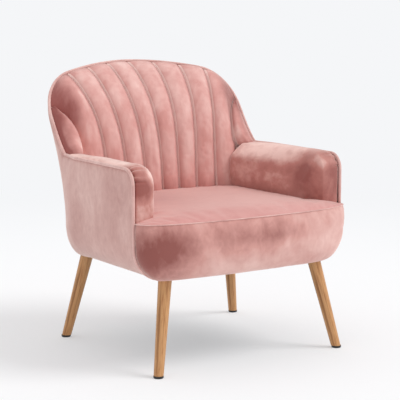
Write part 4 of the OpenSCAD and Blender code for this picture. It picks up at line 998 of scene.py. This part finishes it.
def arm_pad(side):
    """An arm's cover, from its piping over the top and down its inner side to the seat."""
    inward, height, place = arm_section()
    rows = [arm_line(distance, lift) for distance, lift in zip(inward, height)]
    last = rows[-1]
    foot = last.copy()
    foot[:, 1] = np.linspace(last[0, 1] + 2 * MM, last[-1, 1], len(last))
    foot[:, 2] = ARM_FOOT
    down = np.linspace(0, 1, 34)[1:]
    for t in down:
        row = last + (foot - last) * t
        row[:, 0] -= 4 * MM * math.sin(math.pi * t) * rising(np.arange(len(row)), 12)
        rows.append(row)
    grid = np.array(rows)
    way_round = np.concatenate([place, np.ones(len(down))])[:, None]
    low = np.concatenate([np.zeros(len(place)), np.linspace(0, 1, len(down))])[:, None]
    inner = smooth(0.45, 1, way_round)
    # towards the back the stuffing fills out over the seat
    grid[..., 0] -= toe_in(grid[..., 1]) * inner * (1 - 0.35 * low ** 3)
    # the rear end rounds away from the seat into the crease
    rear = smooth(ARM_END - 16 * MM, ARM_END, grid[..., 1]) ** 2
    grid[..., 0] += 22 * MM * rear * inner
    grid[..., 2] -= 7 * MM * rear * (1 - smooth(0.7, 1, way_round))
    relief = MM * cloud(grid, 0.07, 6.0 + side) + arm_gathers(grid, way_round, side)
    grid = grid + outward_normals(grid, (0, 0, 1)) * relief[..., None]
    inside = grid.copy()
    inside[..., 0] = HALF - 4 * MM - 12 * MM * smooth(0, 1, np.linspace(0, 1, len(grid))[:, None])
    inside[..., 2] = np.minimum(grid[..., 2] - 6 * MM, ARM_Z - 12 * MM)
    inside[..., 1] = np.clip(grid[..., 1] + 6 * MM, ARM_FRONT + 8 * MM, ARM_END)
    mirror(side, grid, inside)
    # painted sheen on top; painted shade beside the piping and in the gathers at the front corner, heavier on
    # the left arm; a painted highlight on the left arm's front and a slightly deeper right front; the cloud
    # adds patches in the pile
    gather_painted_shade, front_painted_light = (0.9, -0.1) if side > 0 else (2.4, 0.6)
    corner = gather_painted_shade * oval_patches(grid, (1, 2), CORNER_GATHER_SHADE) * (1 - smooth(0.3, 0.62, way_round))
    front = front_painted_light * (1 - smooth(ARM_FRONT + 10 * MM, ARM_FRONT + 60 * MM, grid[..., 1]))
    top = 1.3 * np.exp(-(np.maximum(ARM_Z - 14 * MM - grid[..., 2], 0) / (22 * MM)) ** 2)
    nap_and_painted_light = -0.45 - 1.8 * fade(way_round, 0.035) + top - corner + front + 0.35 * cloud(grid, 0.05, 12.0)
    nap_and_painted_light = nap_and_painted_light + oval_patches(grid, (1, 2), RIGHT_ARM_MARKS) * (side > 0)
    name = hand(side)
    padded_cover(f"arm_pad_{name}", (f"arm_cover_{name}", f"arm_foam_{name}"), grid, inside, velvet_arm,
                 nap_and_painted_light, held_round(grid, 5), cap=5 * MM)


# ---- Routes of the piping ------------------------------------------------------------------------

def side_piping(side):
    """From under the seat up the arm's front, round its corner and back to the back's piping."""
    low = [(HALF - TUCK + TUCK * math.sin(a), ARM_FRONT, UNDER + TUCK - TUCK * math.cos(a))
           for a in np.radians(np.linspace(8, 90, 20))]
    up = [(HALF, ARM_FRONT, z) for z in np.linspace(UNDER + TUCK, ARM_Z - ARM_CORNER, 20)[1:]]
    cy, cz = ARM_FRONT + ARM_CORNER, ARM_Z - ARM_CORNER
    turn = [(HALF, cy + ARM_CORNER * math.cos(a), cz + ARM_CORNER * math.sin(a))
            for a in np.radians(np.linspace(180, 90, 18))[1:]]
    along = [tuple(arm_edge(y)) for y in np.linspace(ARM_FRONT + ARM_CORNER, BACK_JOINT, 50)[1:]]
    route = np.array(low + up + turn + along) + (0.8 * MM, -0.4 * MM, 0.6 * MM)
    mirror(side, route)
    cord_mesh(f"side_piping_{hand(side)}", f"side_welt_{hand(side)}", route, CORD + PROUD, (side, -0.6, 0.3))


def back_piping():
    """All round the back's edge, from one arm to the other."""
    route = both_halves([edge_point(q) for q in np.linspace(0, 1, 160)])
    cord_mesh("back_piping", "back_welt", route, CORD + PROUD, (0, 0.1, -0.45), spread=(2, 0, 1))


def seat_piping():
    """Thin piping along the seam round the front of the seat."""
    f = np.linspace(math.radians(178), math.radians(2), 160)
    (x, y), (out_x, out_y) = nose_foot(f), nose_out(f)
    sunk = 0.6 * MM
    route = np.stack([x - out_x * sunk, y - out_y * sunk, np.full_like(x, SEAM_Z + 0.6 * MM)], -1)
    cord_mesh("seat_piping", "seat_welt", route, 1.5 * MM, (0, 0, 1), sides=10)


# ---- Underside ------------------------------------------------------------------------------------

LEG_IN = 12.5 * MM                                  # a leg's axis at the floor, from its box's outer corner
LEG_SPLAY_X, LEG_SPLAY_Y = 47 * MM, 44 * MM         # how far further in it is at its top


def leg_axis(end):
    """The ends of a leg's axis, at the floor and at its top."""
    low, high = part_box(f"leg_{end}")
    across, along = (1 if "right" in end else -1), (1 if "rear" in end else -1)
    x = (high.x if across > 0 else low.x) - across * LEG_IN
    y = (high.y if along > 0 else low.y) - along * LEG_IN
    return (x, y, low.z), (x - across * LEG_SPLAY_X, y - along * LEG_SPLAY_Y, high.z)


def dust_lining():
    """Black lining stapled under the frame: a little slack, drawn tight at its hem and at the legs."""
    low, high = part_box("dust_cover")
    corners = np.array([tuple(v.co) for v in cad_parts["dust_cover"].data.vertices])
    tops = np.array([leg_axis(end)[1][:2] for end in LEGS])
    # half of its width along the seat, from the construction's outline without its cut-outs for the legs
    away = np.linalg.norm(corners[:, None, :2] - tops[None], axis=2).min(1)
    edge = corners[(away > 11 * MM) & (corners[:, 0] >= 0)]
    edge = edge[np.argsort(edge[:, 1])]
    middle, reach = (low.y + high.y) / 2, (high.y - low.y) / 2
    t, s = np.sin(np.linspace(-math.pi / 2, math.pi / 2, 72))[:, None], np.linspace(-1, 1, 73)[None, :]
    y = middle + reach * t
    half = np.maximum(np.interp(y, edge[:, 1], edge[:, 0]), 20 * MM)
    x = half * s
    y = y + 0 * x
    hem = np.minimum(half * (1 - np.abs(s)), reach * (1 - np.abs(t)))
    near_leg = np.linalg.norm(np.stack([x, y], -1)[:, :, None] - tops, axis=3).min(2)
    slack = 5 * MM * smooth(0, 130 * MM, hem) * smooth(24 * MM, 90 * MM, near_leg)
    inside_hem = smooth(0, 10 * MM, hem)
    drawn = noise_line(np.arctan2(y - middle, x), 0.09, 2.0) * fade(hem, 30 * MM) * inside_hem
    fold = 0.5 * MM * smooth(13 * MM, 11 * MM, hem)
    tight = smooth(20 * MM, 50 * MM, near_leg)
    z = low.z - slack - tight * (0.8 * MM * (drawn + 1) * inside_hem + fold)
    outside = np.stack([x, y, z], -1)
    inside = outside + (0, 0, 1.2 * MM)
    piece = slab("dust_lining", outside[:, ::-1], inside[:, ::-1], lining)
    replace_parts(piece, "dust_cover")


# ---- Pieces --------------------------------------------------------------------------------------

for side in (-1, 1):
    side_panel(side)
    wing_channel(side)
    arm_pad(side)
    side_piping(side)
rear_panel()
channel_fan()
seat_cushion()
front_border()
back_piping()
seat_piping()
dust_lining()
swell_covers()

# ---- Finishes of the pieces that keep their own shape ---------------------------------------------

FINISHES = [(oak_material(f"lacquered oak {end}", *leg_axis(end), "#cd9a68", "#9a6a3e"), [f"leg_{end}"])
            for end in LEGS]
FINISHES += [
    # satin black, with the faint grain of its mould
    (mottled_finish("moulded black polypropylene", "#1b1b1d", "#242427", 900, 0.5), ["leg_glides"]),
    # light grey metal, with a softened shine
    (mottled_finish("zinc-plated steel", "#9a9da2", "#b9bcc0", 700, 0.35, metallic=1.0),
     ["glide_nails", "leg_bolts", "leg_insert_nuts", "frame_screws", "seat_springs", "spring_clips",
      "spring_tie_wires"]),
    # pale and dry, with its grain drawn out along the boards
    (mottled_finish("sanded plywood", "#c9a874", "#dcc298", 120, 0.7, stretch=(0.15, 1, 1)),
     ["leg_blocks", "seat_front_rail", "seat_rear_rail", "seat_rail_left", "seat_rail_right",
      "arm_front_post_left", "arm_front_post_right", "arm_rear_post_left", "arm_rear_post_right",
      "arm_rail_left", "arm_rail_right", "back_post_left", "back_post_right", "back_top_rail",
      "back_lower_rail"]),
    # brown and even, with short fibres
    (mottled_finish("pressed fibreboard", "#a58f6c", "#bda884", 500, 0.85),
     ["side_board_left", "side_board_right", "back_board"]),
    # dark bands with a fine rib
    (mottled_finish("woven elastic webbing", "#2b2b2d", "#414144", 900, 0.9, stretch=(0.2, 1, 1)),
     ["back_webbing"]),
    # dull grey, in blended fibres
    (mottled_finish("needled felt", "#5f5c58", "#7a7772", 400, 0.95), ["seat_pad_felt"]),
    # cream, with open cells
    (mottled_finish("polyurethane foam", "#e9dfbd", "#f3ecd2", 900, 0.95, bump_mm=0.4),
     ["seat_foam", "front_foam", "arm_foam_left", "arm_foam_right", "back_foam"]),
    # white and fluffy
    (mottled_finish("polyester wadding", "#efede8", "#fbfaf7", 300, 0.95), ["channel_fillings"]),
]
for material, nodes in FINISHES:
    for node in nodes:
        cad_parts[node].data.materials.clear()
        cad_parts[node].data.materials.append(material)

# ---- Floor, light and view -----------------------------------------------------------------------

BACKDROP = "#f5f6f8"
FLOOR_HALF = 40


def studio():
    """A floor of seamless paper, an even backdrop and two soft lamps."""
    floor_mesh = bpy.data.meshes.new("floor")
    floor_corners = [(x * FLOOR_HALF, y * FLOOR_HALF, 0) for x, y in ((-1, -1), (1, -1), (1, 1), (-1, 1))]
    floor_mesh.from_pydata(floor_corners, [], [(0, 1, 2, 3)])
    floor = bpy.data.objects.new("floor", floor_mesh)
    bpy.context.scene.collection.objects.link(floor)
    # near the chair the matt paper takes the shadow, and 3 m away it is as pale as the backdrop
    paper = new_material("seamless studio paper")
    place = add(paper, "ShaderNodeTexCoord").outputs["Object"]
    away = add(paper, "ShaderNodeVectorMath", {"operation": "LENGTH"}, {0: place}).outputs["Value"]
    pale = add(paper, "ShaderNodeMapRange", {"interpolation_type": "SMOOTHSTEP"}, {"Value": away},
               From_Min=0.7, From_Max=3.0, To_Min=0.38, To_Max=1.0).outputs["Result"]
    share = add(paper, "ShaderNodeMath", {"operation": "MULTIPLY"},
                {0: pale, 1: seen_directly(paper)}).outputs[0]
    matt = add(paper, "ShaderNodeBsdfPrincipled", Base_Color=srgb("#f8f8f9"), Roughness=0.9,
               Specular_IOR_Level=0.1)
    glow = add(paper, "ShaderNodeEmission", Color=srgb(BACKDROP), Strength=1.0)
    both = add(paper, "ShaderNodeMixShader", {}, {0: share, 1: matt.outputs[0], 2: glow.outputs[0]})
    add(paper, "ShaderNodeOutputMaterial", {}, {"Surface": both.outputs[0]})
    floor_mesh.materials.append(paper)

    world = bpy.data.worlds.new("studio")
    bpy.context.scene.world = world
    world.use_nodes = True
    world.node_tree.nodes.clear()
    fill = add(world, "ShaderNodeBackground", Color=srgb("#ffffff"), Strength=0.66)
    shown = add(world, "ShaderNodeBackground", Color=srgb(BACKDROP), Strength=1.0)
    mixed = add(world, "ShaderNodeMixShader", {},
                {0: seen_directly(world), 1: fill.outputs[0], 2: shown.outputs[0]})
    add(world, "ShaderNodeOutputWorld", {}, {"Surface": mixed.outputs[0]})

    add_sun("key light from the right", (0.62, -0.50, 0.95), 1.4, 28)
    add_sun("top light", (-0.15, 0.25, 1.0), 0.3, 60)


def seen_directly(owner):
    """1 where the camera, a mirror or glass looks at the backdrop, 0 for the light on the chair."""
    path = add(owner, "ShaderNodeLightPath")
    seen = path.outputs["Is Camera Ray"]
    for ray in ("Is Glossy Ray", "Is Transmission Ray"):
        seen = add(owner, "ShaderNodeMath", {"operation": "MAXIMUM"},
                   {0: seen, 1: path.outputs[ray]}).outputs[0]
    return seen


def add_sun(name, direction, strength, spread_degrees):
    """A distant soft lamp; direction points from the chair to the lamp."""
    data = bpy.data.lights.new(name, "SUN")
    data.energy = strength
    data.angle = math.radians(spread_degrees)
    lamp = bpy.data.objects.new(name, data)
    lamp.rotation_mode = "QUATERNION"
    lamp.rotation_quaternion = Vector(direction).to_track_quat("Z", "Y")
    lamp.location = Vector(direction) * 4
    bpy.context.scene.collection.objects.link(lamp)


studio()
bpy.context.scene.view_settings.view_transform = "Standard"
